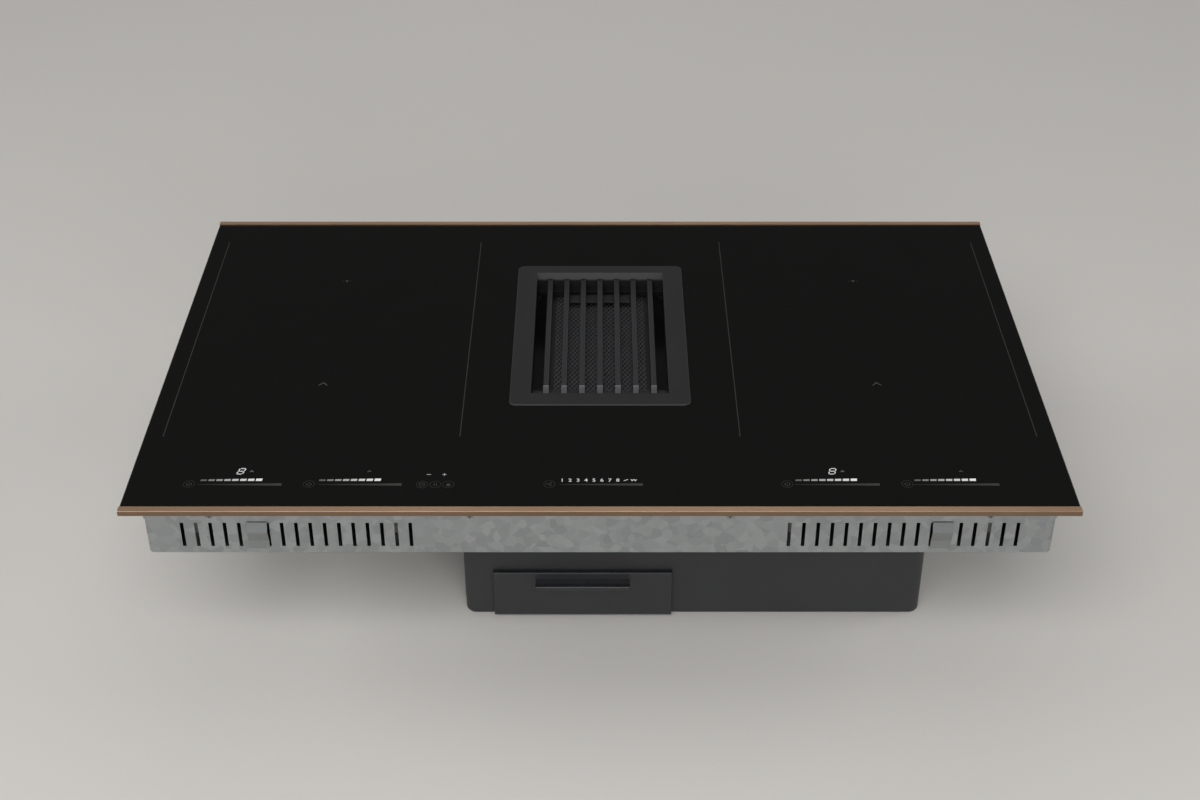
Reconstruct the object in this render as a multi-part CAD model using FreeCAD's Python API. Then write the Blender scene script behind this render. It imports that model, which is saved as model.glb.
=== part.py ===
import FreeCAD, Part
import os
from math import atan2, cos, pi, sin, sqrt

# Downdraft induction cooktop, in millimetres.
# Origin: centre of the worktop cut-out, on the worktop's top face.
# +X points to the user's right, +Y to the rear and +Z up.

# ---- driving sizes -------------------------------------------------------

# overall and worktop
overall_width = 830.0
overall_depth = 515.0
overall_height = 210.0
cutout_cover = 11.5  # how far the glass and trims reach over the cut-out's edge
cutout_gap = 3.5

# glass, trims and worktop seal
glass_thickness = 4.0
glass_bevel = 0.6
seal_thickness = 1.0
seal_width = 7.0
seal_from_cutout = 1.5
trim_lip = 7.0
trim_lip_thickness = 1.0
trim_web = 1.5
trim_rounding = 0.7

# intake opening and its frame
vent_width = 131.0
vent_length = 223.4
vent_from_front = 179.9
vent_corner = 1.0
frame_side = 19.5
frame_front = 18.8
frame_rear = 14.4
frame_plate = 1.2
frame_corner = 6.5
frame_seal = 0.4
frame_seal_inset = 1.5
collar_wall = 2.5
lug_height = 4.0
lug_reach = 4.5
lug_below = 0.3

# grille
bar_count = 7
bar_pitch = 17.2
bar_width = 5.4
bar_height = 10.5
bar_drop = 5.2
bar_rounding = 0.8
finger_gap = 23.0
bar_rear_gap = 0.5
rail_width = 6.0
rail_height = 6.0
rail_inset = 0.8
rail_end_gap = 0.8
rear_rail_inset = 3.3
foot_thickness = 1.0
foot_length = 4.0

# filter basket
filter_below_rail = 0.8
filter_width = 100.0
filter_height = 39.5
filter_front_gap = 2.5
filter_rear_gap = 2.8
filter_wall = 3.0
filter_rim = 5.0
filter_rim_thickness = 2.0
filter_window_count = 3
mesh_thickness = 1.5
mesh_inset = 0.3
handle_width = 64.0
handle_depth = 15.0
handle_thickness = 1.8
handle_leg = 3.0
handle_lift = 3.3
handle_rail_gap = 2.5

# intake shaft
shaft_gap = 0.5
shaft_wall = 2.0
shaft_flange = 6.0
shaft_flange_thickness = 1.5
shelf_thickness = 3.0
shelf_overlap = 4.0

# casing
casing_depth = 52.0
sheet = 1.0
support_flange = 14.0
support_wall = 16.0
pan_below_glass = 4.0
casing_corner = 6.0
screw_radius = 2.0
screw_hole_gap = 0.1
screw_head_radius = 3.5
screw_head = 1.8
screw_length = 6.0
casing_screw_z = -9.0
casing_long_screw_count = 4
casing_short_screw_count = 2
screw_row_share_long = 0.85  # share of the wall's length that the screws cover
screw_row_share_short = 0.6
clamp_hole_radius = 2.6
clamp_inset_x = 60.0
clamp_inset_y = 12.5

# leaf springs against the cut-out
leaf_thickness = 0.8
leaf_width = 18.0
leaf_top = -18.0
leaf_bottom = -47.0
leaf_x = 300.0
leaf_bend_share = 0.3  # shares of the leaf's height
leaf_crest_share = 0.7

# coils
coil_from_wall = 135.5
coil_pitch_y = 191.4
coil_core_width = 72.0
coil_core_depth = 20.0
coil_first_radius = 10.0
coil_pitch = 5.9
coil_turn_count = 10
litz_width = 5.0
litz_height = 4.0
carrier_margin = 3.0
carrier_thickness = 2.5
mica_thickness = 0.8
ferrite_length = 46.0
ferrite_width = 12.0
ferrite_height = 5.0
ferrite_start = 26.0
ferrite_count = 8
sensor_radius = 6.0
sensor_head = 1.0
sensor_gap = 0.3
shield_thickness = 1.5
coil_rear_share = 0.2228  # share of the free depth that lies behind the rear coils
shield_past_coil = 3.3
post_radius = 5.0
post_board_gap = 4.0
post_inset = 7.0
post_from_shield_front = 28.0
post_before_board_end = 10.7
post_from_shield_rear = 21.0
post_from_cooler = 80.0

# power electronics
board_thickness = 1.6
board_lift = 6.0
board_wall_gap = 26.0
board_width = 212.0
board_from_touch = 20.0
board_depth = 220.0
pip_radius = 3.5
pip_inset = 8.0
sink_width = 60.0
sink_depth = 170.0
sink_head_gap = 4.6
sink_base = 4.0
sink_fin_count = 9
sink_fin = 1.6
sink_inset = 5.0
capacitor_count = 4
capacitor_radius = 9.0
capacitor_height = 22.0
capacitor_pitch = 34.0
capacitor_row = 22.0
film_capacitor = (30.0, 14.0, 24.0)
film_pitch = 40.0
film_row = 61.0
choke_radius = 15.0
choke_hole = 6.0
choke_height = 14.0
choke_pitch = 60.0
choke_row = 130.0
relay = (20.0, 12.0, 16.0)
relay_count = 3
relay_pitch = 30.0
relay_row = 184.0

# cooling blowers
cooler_from_side = 23.0
cooler_from_board = 90.0
cooler_head_gap = 5.2
cooler_wall = 1.5
cooler_first_radius = 34.0
cooler_growth = 3.5
cooler_mouth_y = 50.0
cooler_mouth_left = -44.0
cooler_inlet_radius = 25.0
cooler_wheel_radius = 30.0
cooler_blade_depth = 5.5
cooler_blade_count = 24
cooler_blade_thickness = 0.9
cooler_hub_radius = 6.0
cooler_pin_radius = 2.0
blade_sweep_share = 0.8
blade_bow_share = 0.3
cooler_running_gap = 0.05
cooler_axial_gap = 2.0
slot_width = 3.2
slot_pitch = 6.0

# mains entry
mains_board_width = 132.0
mains_board_from_touch = 10.0
mains_board_depth = 86.0
mains_choke_pitch = 76.0
mains_film_pitch = 52.0
block_from_wall = 33.0
block_rear_gap = 24.5
block_length = 75.0
block_depth = 20.0
block_height = 18.0
block_pole_count = 5
pole_radius = 3.0
hatch_before_block = 5.0
hatch_width = 90.0
hatch_depth = 66.0
hatch_overlap = 7.0
hatch_gap = 0.3
hatch_sheet = 1.2
hinge_radius = 2.4
hinge_pin_radius = 1.2
hinge_running_gap = 0.05
hinge_ear = 2.0
hinge_knuckle = 22.0
hinge_side_gap = 0.3
gland_from_wall = 158.0
gland_rear_gap = 25.5
gland_radius = 12.0
gland_bore = 7.0
gland_drop = 22.0
gland_neck_radius = 8.5
gland_nut = 5.0

# touch controls
touch_left_gap = 26.0
touch_right_gap = 38.0
touch_front_gap = 8.5
touch_depth = 42.0
touch_top_drop = 5.0
touch_carrier_wall = 2.0
touch_carrier_floor = 2.0
touch_carrier_drop = 4.0
touch_leg_radius = 4.0
touch_leg_count = 5
# keys, sliders and digits: from the touch board's left end, its middle line and its right end
keys_from_left = (11.3, 116.6, 215.8, 227.6, 239.0)
keys_from_middle = (-44.4,)
keys_from_right = (-195.6, -90.3)
key_row = 14.9
touch_spring_radius = 4.5
touch_spring_wall = 0.8
sliders_from_left = (20.0, 124.7)
sliders_from_middle = (-36.0,)
sliders_from_right = (-189.1, -84.7)
slider_length = 74.0
slider_module_depth = 6.0
slider_row = 24.0
digits_from_left = (54.2,)
digits_from_right = (-154.1,)
digit_row = 34.0
digit_module = (15.0, 12.0)

# lower housing
housing_left_x = -130.0
housing_right_x = 310.0
housing_least_depth = 388.0
housing_before_vent = 72.4
housing_rear_inset = 4.5
housing_wall = 2.5
housing_corner = 10.0
housing_foot_rounding = 4.0
housing_lid = 3.0
lid_overhang = 2.0
rib_width = 3.0
rib_depth = 1.2
rib_pitch = 48.0
partition_gap = 2.5
partition_rise = 2.0
boss_radius = 6.0
boss_inset = 10.0
boss_height = 20.0
boss_floor = 2.0
housing_screw_length = 14.0

# outlet duct
duct_width = 222.0
duct_height = 89.0
duct_wall = 2.5
duct_right_gap = 12.0
duct_floor_gap = 5.9
duct_inner_length = 45.0
duct_outer_length = 16.0
duct_flange = 1.3
duct_flange_thickness = 2.0
duct_fit = 0.3
flap_from_start = 12.0
flap_thickness = 1.6
flap_barrel_radius = 2.2
flap_pin_radius = 1.5
flap_running_gap = 0.05
flap_side_gap = 0.6
flap_end_gap = 1.6
flap_stop = 4.0
flap_stop_thickness = 1.5
flap_seat_gap = 0.3

# main blower
scroll_wall = 2.5
scroll_tongue_gap = 10.0
scroll_length = 193.0
scroll_growth = 10.0
scroll_plate = 2.5
scroll_foot_radius = 7.0
scroll_foot_reach = 60.0
inlet_below_wheel = 4.5
inlet_wall = 2.0
inlet_flange = 16.0
inlet_depth = 14.0
inlet_fit = 0.3
inlet_round = 3.0
wheel_shift_x = 6.0  # the wheel's axis from the scroll's first centre
wheel_shift_y = 2.0
wheel_radius = 78.0
wheel_blade_depth = 13.5
wheel_blade_count = 36
wheel_blade_thickness = 1.3
wheel_plate = 2.0
wheel_floor_gap = 5.5
wheel_top_gap = 8.5
motor_radius = 40.0
motor_cup_wall = 3.0
motor_height = 34.0
motor_air_gap = 1.0
motor_flange_radius = 34.0
motor_flange = 2.0
motor_shaft_radius = 4.0
motor_running_gap = 0.05
motor_pole_count = 6
motor_slot = 3.0

# overflow tank
tank_left_gap = 35.0
tank_right_gap = 9.0
tank_length = 302.0
tank_height = 45.0
tank_wall = 2.0
tank_floor_gap = 0.3
tank_side_gap = 1.0
tank_top_gap = 1.5
tank_corner = 6.0
tank_panel = 4.0
tank_panel_overlap = 6.0
tank_seal_thickness = 1.2
tank_seal_width = 4.0
grip_width = 90.0
grip_depth = 12.0
grip_height = 5.0
runner_gap = 0.5
runner_thickness = 2.0
runner_height = 14.0

# how far the parts of one moulding reach into one another
bite = 0.5

# ---- levels and outlines that follow from them ---------------------------

V = FreeCAD.Vector
UP = V(0, 0, 1)

glass_bottom = seal_thickness
glass_top = glass_bottom + glass_thickness
frame_bottom = glass_top + frame_seal
frame_top = frame_bottom + frame_plate
base_z = frame_top - overall_height
bar_top = glass_top - bar_drop
bar_bottom = bar_top - bar_height
rail_bottom = bar_bottom - rail_height
lug_top = rail_bottom - foot_thickness
collar_bottom = lug_top - lug_height - lug_below
filter_top = rail_bottom - filter_below_rail
shelf_top = filter_top - filter_height
shaft_bottom = shelf_top - shelf_thickness
casing_bottom = -casing_depth
floor_top = casing_bottom + sheet
lid_bottom = casing_bottom - housing_lid
tub_floor = base_z + housing_wall
mica_bottom = glass_bottom - mica_thickness
litz_bottom = mica_bottom - litz_height
carrier_bottom = litz_bottom - carrier_thickness
ferrite_bottom = carrier_bottom - ferrite_height
shield_bottom = ferrite_bottom - shield_thickness
board_bottom = floor_top + board_lift
board_top = board_bottom + board_thickness
sink_height = shield_bottom - sink_head_gap - board_top
cooler_height = shield_bottom - cooler_head_gap - floor_top
touch_top_z = glass_bottom - touch_top_drop
duct_bottom = tub_floor + duct_floor_gap
duct_top = duct_bottom + duct_height
partition_top = duct_top + partition_rise
wheel_bottom = duct_bottom + scroll_plate + wheel_floor_gap
wheel_top = duct_top - scroll_plate - wheel_top_gap
wheel_inner_radius = wheel_radius - wheel_blade_depth
inlet_throat_radius = wheel_inner_radius - inlet_below_wheel
scroll_first_radius = wheel_radius + scroll_tongue_gap
screw_hole_radius = screw_radius + screw_hole_gap
sides = (("left", -1), ("right", 1))


def grow(area, by):
    # the rectangle moved outwards by the same amount on every side
    return (area[0] - by, area[1] + by, area[2] - by, area[3] + by)


def centred(x, y, width, depth):
    return (x - width / 2, x + width / 2, y - depth / 2, y + depth / 2)


cutout_area = grow(centred(0, 0, overall_width, overall_depth), -cutout_cover)
casing_area = grow(cutout_area, -cutout_gap)
pan_area = grow(casing_area, -sheet)
pan_inside = grow(pan_area, -sheet)

vent_front_y = vent_from_front - overall_depth / 2
vent_area = (-vent_width / 2, vent_width / 2, vent_front_y, vent_front_y + vent_length)
collar_area = grow(vent_area, collar_wall)
shaft_inside = grow(collar_area, shaft_gap)
shaft_area = grow(shaft_inside, shaft_wall)
filter_area = (-filter_width / 2, filter_width / 2,
               vent_area[2] + filter_front_gap, vent_area[3] - filter_rear_gap)

touch_left_x = pan_inside[0] + touch_left_gap
touch_right_x = pan_inside[1] - touch_right_gap
touch_front_y = pan_inside[2] + touch_front_gap
touch_area = (touch_left_x, touch_right_x, touch_front_y, touch_front_y + touch_depth)


def across(from_left, from_middle, from_right):
    # places along X, counted from the touch board's left end, the middle line and its right end
    return ([touch_left_x + x for x in from_left] + list(from_middle)
            + [touch_right_x + x for x in from_right])


board_front_y = touch_area[3] + board_from_touch
cooler_y = board_front_y + board_depth + cooler_from_board
mains_board_front_y = touch_area[3] + mains_board_from_touch
block_x = pan_inside[0] + block_from_wall
block_y = pan_inside[3] - block_rear_gap - block_depth
hatch_x = block_x
hatch_y = block_y - hatch_before_block - hatch_depth
gland_x = pan_inside[0] + gland_from_wall
gland_y = pan_inside[3] - gland_rear_gap

# each pair of coils lies between the touch carrier and the support frame's flange
coil_x = pan_inside[1] - coil_from_wall
coil_reach = (coil_core_depth / 2 + coil_first_radius + coil_turn_count * coil_pitch
              + litz_width / 2 + carrier_margin)
coil_last_y = casing_area[3] - support_flange
coil_room = coil_last_y - touch_area[3] - touch_carrier_wall - coil_pitch_y - 2 * coil_reach
coil_rear_y = coil_last_y - coil_room * coil_rear_share - coil_reach
coil_front_y = coil_rear_y - coil_pitch_y
shield_rear_y = coil_rear_y + coil_reach + shield_past_coil
shield_front_y = coil_front_y - coil_reach - shield_past_coil

housing_rear_y = casing_area[3] - housing_rear_inset
# the housing starts ahead of the intake, and holds the blower with its duct
housing_front_y = min(vent_front_y - housing_before_vent, housing_rear_y - housing_least_depth)
housing_area = (housing_left_x, housing_right_x, housing_front_y, housing_rear_y)
housing_inside = grow(housing_area, -housing_wall)

duct_x1 = housing_right_x - duct_right_gap
duct_x0 = duct_x1 - duct_width
duct_start_y = housing_rear_y - duct_inner_length
duct_end_y = housing_rear_y + duct_outer_length
flap_axis_y = duct_start_y + flap_from_start
blower_x = duct_x1 - duct_wall - scroll_first_radius - 3 * scroll_growth
blower_y = duct_start_y - scroll_length
wheel_x = blower_x + wheel_shift_x
wheel_y = blower_y + wheel_shift_y

# the partition stands left of the duct and the scroll, whichever reaches further
blower_left_x = min(duct_x0, blower_x - scroll_first_radius - scroll_wall)
partition_x = blower_left_x - partition_gap - housing_wall
tank_left_x = housing_left_x + tank_left_gap
tank_right_x = partition_x - tank_right_gap
tank_rear_y = housing_front_y + tank_length
tank_area = (tank_left_x, tank_right_x, housing_front_y, tank_rear_y)


# ---- shapes used by many pieces ------------------------------------------

def outline(area, z, corner):
    x0, x1, y0, y1 = area
    if corner <= 0:
        points = [V(x0, y0, z), V(x1, y0, z), V(x1, y1, z), V(x0, y1, z)]
        return Part.makePolygon(points + points[:1])
    edges = []
    centres = [(x1 - corner, y0 + corner, -pi / 2), (x1 - corner, y1 - corner, 0),
               (x0 + corner, y1 - corner, pi / 2), (x0 + corner, y0 + corner, pi)]
    last = V(x0 + corner, y0, z)
    for x, y, start in centres:
        arc = [V(x + corner * cos(a), y + corner * sin(a), z)
               for a in (start, start + pi / 4, start + pi / 2)]
        edges.append(Part.makeLine(last, arc[0]))
        edges.append(Part.Arc(*arc).toShape())
        last = arc[2]
    return Part.Wire(edges)


def slab(area, z0, z1, corner=0.0):
    return Part.Face(outline(area, z0, corner)).extrude(V(0, 0, z1 - z0))


def ring(outer, inner, z0, z1, outer_corner=0.0, inner_corner=0.0):
    return slab(outer, z0, z1, outer_corner).cut(slab(inner, z0 - 1, z1 + 1, inner_corner))


def rod(x, y, z0, z1, radius):
    return Part.makeCylinder(radius, z1 - z0, V(x, y, z0), UP)


def tube(x, y, z0, z1, radius, bore):
    return rod(x, y, z0, z1, radius).cut(rod(x, y, z0 - 1, z1 + 1, bore))


def bar_x(x0, x1, y, z, radius):
    return Part.makeCylinder(radius, x1 - x0, V(x0, y, z), V(1, 0, 0))


def prism_x(points, x0, x1):
    # a side view, given as (y, z) points, drawn out along X
    corners = [V(x0, y, z) for y, z in points]
    return Part.Face(Part.makePolygon(corners + corners[:1])).extrude(V(x1 - x0, 0, 0))


def prism_z(points, z0, z1):
    corners = [V(x, y, z0) for x, y in points]
    return Part.Face(Part.makePolygon(corners + corners[:1])).extrude(V(0, 0, z1 - z0))


def fuse(shapes):
    return shapes[0].multiFuse(shapes[1:]).removeSplitter()


def cut_all(body, tools):
    return body.cut(Part.makeCompound(tools)) if tools else body


def spread(first, last, count):
    return [first + (last - first) * i / (count - 1) for i in range(count)]


def row(middle, pitch, count):
    return [middle + (i - (count - 1) / 2) * pitch for i in range(count)]


def save(name, shapes):
    shape = Part.makeCompound(shapes) if isinstance(shapes, list) else shapes
    shape.exportStep("parts/" + name + ".step")


# ---- top: glass, trims, seals --------------------------------------------

def glass_plate():
    area = grow(centred(0, 0, overall_width, overall_depth), -trim_web)
    area = (-overall_width / 2, overall_width / 2, area[2], area[3])
    plate = slab(area, glass_bottom, glass_top)
    free = [e for e in plate.Edges if e.BoundBox.XLength < 0.01 and e.BoundBox.ZMin > glass_top - 0.01]
    plate = plate.makeChamfer(glass_bevel, free)
    return plate.cut(slab(shaft_inside, glass_bottom - 1, glass_top + 1, vent_corner + collar_wall))


def trim(side):
    # an L profile: the lip lies on the glass and the web closes its edge
    lip_top = glass_top + trim_lip_thickness
    edge = overall_depth / 2
    points = [(edge, glass_bottom), (edge, lip_top), (edge - trim_lip, lip_top),
              (edge - trim_lip, glass_top), (edge - trim_web, glass_top), (edge - trim_web, glass_bottom)]
    points = [(side * y, z) for y, z in points]
    profile = prism_x(points, -overall_width / 2, overall_width / 2)
    front = [e for e in profile.Edges
             if e.BoundBox.XLength > 1 and e.BoundBox.ZMin > lip_top - 0.01
             and abs(e.CenterOfMass.y - side * edge) < 0.01]
    return profile.makeFillet(trim_rounding, front)


def worktop_seal():
    inside = grow(cutout_area, seal_from_cutout)
    return ring(grow(inside, seal_width), inside, 0, glass_bottom, casing_corner + seal_width, casing_corner)


# ---- intake: frame, grille, filter, shaft --------------------------------

def frame_area():
    return (vent_area[0] - frame_side, vent_area[1] + frame_side,
            vent_area[2] - frame_front, vent_area[3] + frame_rear)


def rail_spans():
    # the two rails' places along Y: one at the bars' free ends, one near the rear wall
    front = vent_area[2] + finger_gap + rail_inset
    rear = vent_area[3] - rear_rail_inset - rail_width
    return ((front, front + rail_width), (rear, rear + rail_width))


def vent_frame():
    plate = slab(frame_area(), frame_bottom, frame_top, frame_corner)
    rim = [e for e in plate.Edges if e.BoundBox.ZMin > frame_top - 0.01]
    plate = plate.makeChamfer(frame_plate / 2, rim)
    collar = slab(collar_area, collar_bottom, frame_bottom, vent_corner + collar_wall)
    body = plate.fuse(collar).cut(slab(vent_area, collar_bottom - 1, frame_top + 1, vent_corner))
    lugs = []
    for y0, y1 in rail_spans():
        lugs.append(slab((vent_area[0] - 1, vent_area[0] + lug_reach, y0, y1), lug_top - lug_height, lug_top))
        lugs.append(slab((vent_area[1] - lug_reach, vent_area[1] + 1, y0, y1), lug_top - lug_height, lug_top))
    return fuse([body] + lugs)


def vent_frame_seal():
    outer = grow(frame_area(), -frame_seal_inset)
    return ring(outer, shaft_inside, glass_top, frame_bottom, frame_corner, vent_corner + collar_wall)


def grille():
    y0 = vent_area[2] + finger_gap
    y1 = vent_area[3] - bar_rear_gap
    bars = []
    for x in row(0, bar_pitch, bar_count):
        bar = slab((x - bar_width / 2, x + bar_width / 2, y0, y1), bar_bottom - 1, bar_top)
        top = [e for e in bar.Edges if e.BoundBox.ZMin > bar_top - 0.01]
        bar = bar.makeFillet(bar_rounding, top)
        bars.append(bar.cut(slab((x - bar_width, x + bar_width, y0 - 1, y1 + 1), bar_bottom - 2, bar_bottom)))
    reach = vent_width / 2 - rail_end_gap
    rails = [slab((-reach, reach, a, b), rail_bottom, bar_bottom) for a, b in rail_spans()]
    return fuse(bars + rails)


def grille_feet():
    reach = vent_width / 2 - rail_end_gap
    feet = []
    for y0, y1 in rail_spans():
        feet.append(slab((-reach, -reach + foot_length, y0, y1), lug_top, rail_bottom))
        feet.append(slab((reach - foot_length, reach, y0, y1), lug_top, rail_bottom))
    return feet


def window_spans():
    y0 = filter_area[2] + filter_rim
    y1 = filter_area[3] - filter_rim
    pitch = (y1 - y0 + filter_rim) / filter_window_count
    return [(y0 + i * pitch, y0 + (i + 1) * pitch - filter_rim) for i in range(filter_window_count)]


def filter_window_levels():
    return shelf_top + filter_rim, filter_top - filter_rim


def filter_basket():
    inside = grow(filter_area, -filter_wall)
    opening = grow(filter_area, -filter_rim)
    walls = ring(filter_area, inside, shelf_top, filter_top)
    top_rim = ring(filter_area, opening, filter_top - filter_rim_thickness, filter_top)
    foot_rim = ring(filter_area, opening, shelf_top, shelf_top + filter_rim_thickness)
    low, high = filter_window_levels()
    x0, x1 = filter_area[0] - 1, filter_area[1] + 1
    windows = [slab((x0, x1, y0, y1), low, high) for y0, y1 in window_spans()]
    ends = slab((opening[0], opening[1], filter_area[2] - 1, filter_area[3] + 1), low, high)
    return cut_all(fuse([walls, top_rim, foot_rim]), windows + [ends])


def filter_meshes():
    opening = grow(filter_area, -filter_rim)
    panels = [slab(opening, filter_top - mesh_inset - mesh_thickness, filter_top - mesh_inset)]
    low, high = filter_window_levels()
    for y0, y1 in window_spans():
        for x in (filter_area[0] + mesh_inset, filter_area[1] - mesh_inset - mesh_thickness):
            panels.append(slab((x, x + mesh_thickness, y0, y1), low, high))
    for y in (filter_area[2] + mesh_inset, filter_area[3] - mesh_inset - mesh_thickness):
        panels.append(slab((opening[0], opening[1], y, y + mesh_thickness), low, high))
    return panels


def filter_handle():
    # a low bridge on the mesh's rear end, ahead of the grille's rear rail
    y1 = rail_spans()[1][0] - handle_rail_gap
    y0 = y1 - handle_depth
    half = handle_width / 2
    low = filter_top - mesh_inset
    top = low + handle_lift + handle_thickness
    block = slab((-half, half, y0, y1), low, top)
    upper = [e for e in block.Edges if e.BoundBox.ZMin > top - 0.01]
    block = block.makeFillet(handle_thickness / 2, upper)
    under = slab((-half + handle_leg, half - handle_leg, y0 - 1, y1 + 1), low - 1, low + handle_lift)
    return block.cut(under)


def intake_shaft():
    corner = vent_corner + collar_wall
    body = slab(shaft_area, shaft_bottom, glass_bottom, corner + shaft_wall)
    flange = grow(shaft_area, shaft_flange)
    top = slab(flange, glass_bottom - shaft_flange_thickness, glass_bottom, corner + shaft_flange)
    foot = slab(flange, floor_top, floor_top + shaft_flange_thickness, corner + shaft_flange)
    body = fuse([body, top, foot])
    body = body.cut(slab(shaft_inside, shelf_top, glass_bottom + 1, corner))
    return body.cut(slab(grow(filter_area, -shelf_overlap), shaft_bottom - 1, shelf_top + 1))


# ---- casing --------------------------------------------------------------

def wall_screw_places():
    # place and outward direction of each screw through the casing's walls
    x0, x1, y0, y1 = casing_area
    places = []
    for x in spread(x0 * screw_row_share_long, x1 * screw_row_share_long, casing_long_screw_count):
        places.append((V(x, y0, casing_screw_z), V(0, -1, 0)))
        places.append((V(x, y1, casing_screw_z), V(0, 1, 0)))
    for y in spread(y0 * screw_row_share_short, y1 * screw_row_share_short, casing_short_screw_count):
        places.append((V(x0, y, casing_screw_z), V(-1, 0, 0)))
        places.append((V(x1, y, casing_screw_z), V(1, 0, 0)))
    return places


def wall_holes():
    return [Part.makeCylinder(screw_hole_radius, 8 * sheet, at - out * 4 * sheet, out)
            for at, out in wall_screw_places()]


def casing_screws():
    screws = []
    for at, out in wall_screw_places():
        shank = Part.makeCylinder(screw_radius, screw_length, at - out * screw_length, out)
        head = Part.makeCylinder(screw_head_radius, screw_head, at, out)
        screws.append(shank.fuse(head))
    return screws


def support_frame():
    inner = grow(casing_area, -support_flange)
    low = glass_bottom - support_wall
    wall = ring(casing_area, pan_area, low, glass_bottom, casing_corner, casing_corner)
    flange = ring(casing_area, inner, glass_bottom - sheet, glass_bottom, casing_corner, casing_corner)
    return cut_all(wall.fuse(flange), wall_holes()).removeSplitter()


def cooler_places():
    # each wheel's axis stands in from its board's right edge
    return [(name, board_area(side)[1] - cooler_from_side) for name, side in sides]


def round_of_slots(x, y, radius, z0, z1):
    rows = int(radius / slot_pitch)
    slots = []
    for dx in row(0, slot_pitch, 2 * rows + 1):
        half = sqrt(radius ** 2 - dx ** 2)
        if half > slot_width:
            slots.append(slab(centred(x + dx, y, slot_width, 2 * half), z0, z1))
    return slots


def board_area(side):
    outer = pan_inside[1] - board_wall_gap
    x0 = outer - board_width if side > 0 else -outer
    return (x0, x0 + board_width, board_front_y, board_front_y + board_depth)


def mains_board_area():
    half = mains_board_width / 2
    return (-half, half, mains_board_front_y, mains_board_front_y + mains_board_depth)


def board_pips():
    # pressed pips that hold the boards off the floor
    pips = []
    for area in (board_area(-1), board_area(1), mains_board_area()):
        x0, x1, y0, y1 = grow(area, -pip_inset)
        for x in (x0, x1):
            for y in (y0, y1):
                pips.append(rod(x, y, casing_bottom, board_bottom, pip_radius))
    return pips


def hatch_hinge():
    # the service cover's hinge line, in front of its opening and just below the floor
    return hatch_y - hatch_overlap - hatch_gap - hinge_radius, casing_bottom - hatch_gap - hinge_radius


def hinge_ears():
    y, z = hatch_hinge()
    ears = []
    for x0, x1 in knuckle_spans():
        for x in (x0 - hinge_side_gap - hinge_ear, x1 + hinge_side_gap):
            block = slab((x, x + hinge_ear, y - hinge_radius, y + hinge_radius), z, floor_top)
            ears.append(block.fuse(bar_x(x, x + hinge_ear, y, z, hinge_radius)))
    return ears


def knuckle_spans():
    left = hatch_x + hinge_ear
    right = hatch_x + hatch_width - hinge_ear
    return ((left, left + hinge_knuckle), (right - hinge_knuckle, right))


def hinge_bore():
    y, z = hatch_hinge()
    return bar_x(hatch_x - hatch_overlap, hatch_x + hatch_width + hatch_overlap, y, z,
                 hinge_pin_radius + hinge_running_gap)


def clamp_holes():
    x0, x1, y0, y1 = casing_area
    return [rod(x, y, casing_bottom - 1, floor_top + 1, clamp_hole_radius)
            for x in (x0 + clamp_inset_x, x1 - clamp_inset_x)
            for y in (y0 + clamp_inset_y, y1 - clamp_inset_y)]


def exhaust_slots(side):
    # cooling air leaves through the front wall, ahead of each board
    area = board_area(side)
    count = int(board_width / (2 * slot_pitch))
    return [slab((x - slot_width / 2, x + slot_width / 2, pan_area[2] - 1, pan_area[2] + 2),
                 board_bottom, glass_bottom - support_wall - pan_below_glass)
            for x in spread(area[0] + slot_pitch, area[1] - slot_pitch, count)]


def casing_walls():
    # one strip bent round all four sides, which stands on the floor sheet's edge
    top = glass_bottom - pan_below_glass
    strip = ring(pan_area, pan_inside, floor_top, top, casing_corner, casing_corner - sheet)
    slots = exhaust_slots(-1) + exhaust_slots(1)
    return cut_all(strip, slots + wall_holes())


def casing_floor():
    sheet_metal = slab(pan_area, casing_bottom, floor_top, casing_corner)
    body = fuse([sheet_metal] + board_pips() + hinge_ears())
    holes = [slab(grow(shaft_area, shaft_gap), casing_bottom - 1, floor_top + 1)]
    holes.append(slab((hatch_x, hatch_x + hatch_width, hatch_y, hatch_y + hatch_depth),
                      casing_bottom - 1, floor_top + 1))
    holes.append(rod(gland_x, gland_y, casing_bottom - 1, floor_top + 1, gland_neck_radius))
    holes.append(hinge_bore())
    for _, x in cooler_places():
        holes += round_of_slots(x, cooler_y, cooler_inlet_radius, casing_bottom - 1, floor_top + 1)
    for x, y in housing_screw_places():
        holes.append(rod(x, y, casing_bottom - 1, floor_top + 1, screw_hole_radius))
    return cut_all(body, holes + clamp_holes())


def side_springs():
    # bowed leaves on the front and rear walls; each just meets the cut-out's edge
    wall = pan_area[3]
    reach = cutout_area[3]
    bend = leaf_bottom + (leaf_top - leaf_bottom) * leaf_bend_share
    crest = leaf_bottom + (leaf_top - leaf_bottom) * leaf_crest_share
    t = leaf_thickness
    outer = [(wall, leaf_bottom), (wall + t, leaf_bottom), (wall + t, bend), (reach, crest - t),
             (reach, crest + t), (wall + t, leaf_top)]
    inner = [(wall, leaf_top - t), (reach - t, crest + t / 2), (reach - t, crest - t / 2),
             (wall, bend + t / 2)]
    springs = []
    for side in (-1, 1):
        points = [(side * y, z) for y, z in outer + inner]
        for x in (-leaf_x, leaf_x):
            springs.append(prism_x(points, x - leaf_width / 2, x + leaf_width / 2))
    return springs


# ---- coils ---------------------------------------------------------------

def coil_places():
    places = []
    for name, side in sides:
        places.append((name + "_front", side * coil_x, coil_front_y))
        places.append((name + "_rear", side * coil_x, coil_rear_y))
    return places


def coil_area(x, y, margin):
    radius = coil_first_radius + coil_turn_count * coil_pitch + litz_width / 2
    return grow(centred(x, y, coil_core_width, coil_core_depth), radius + margin)


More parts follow.
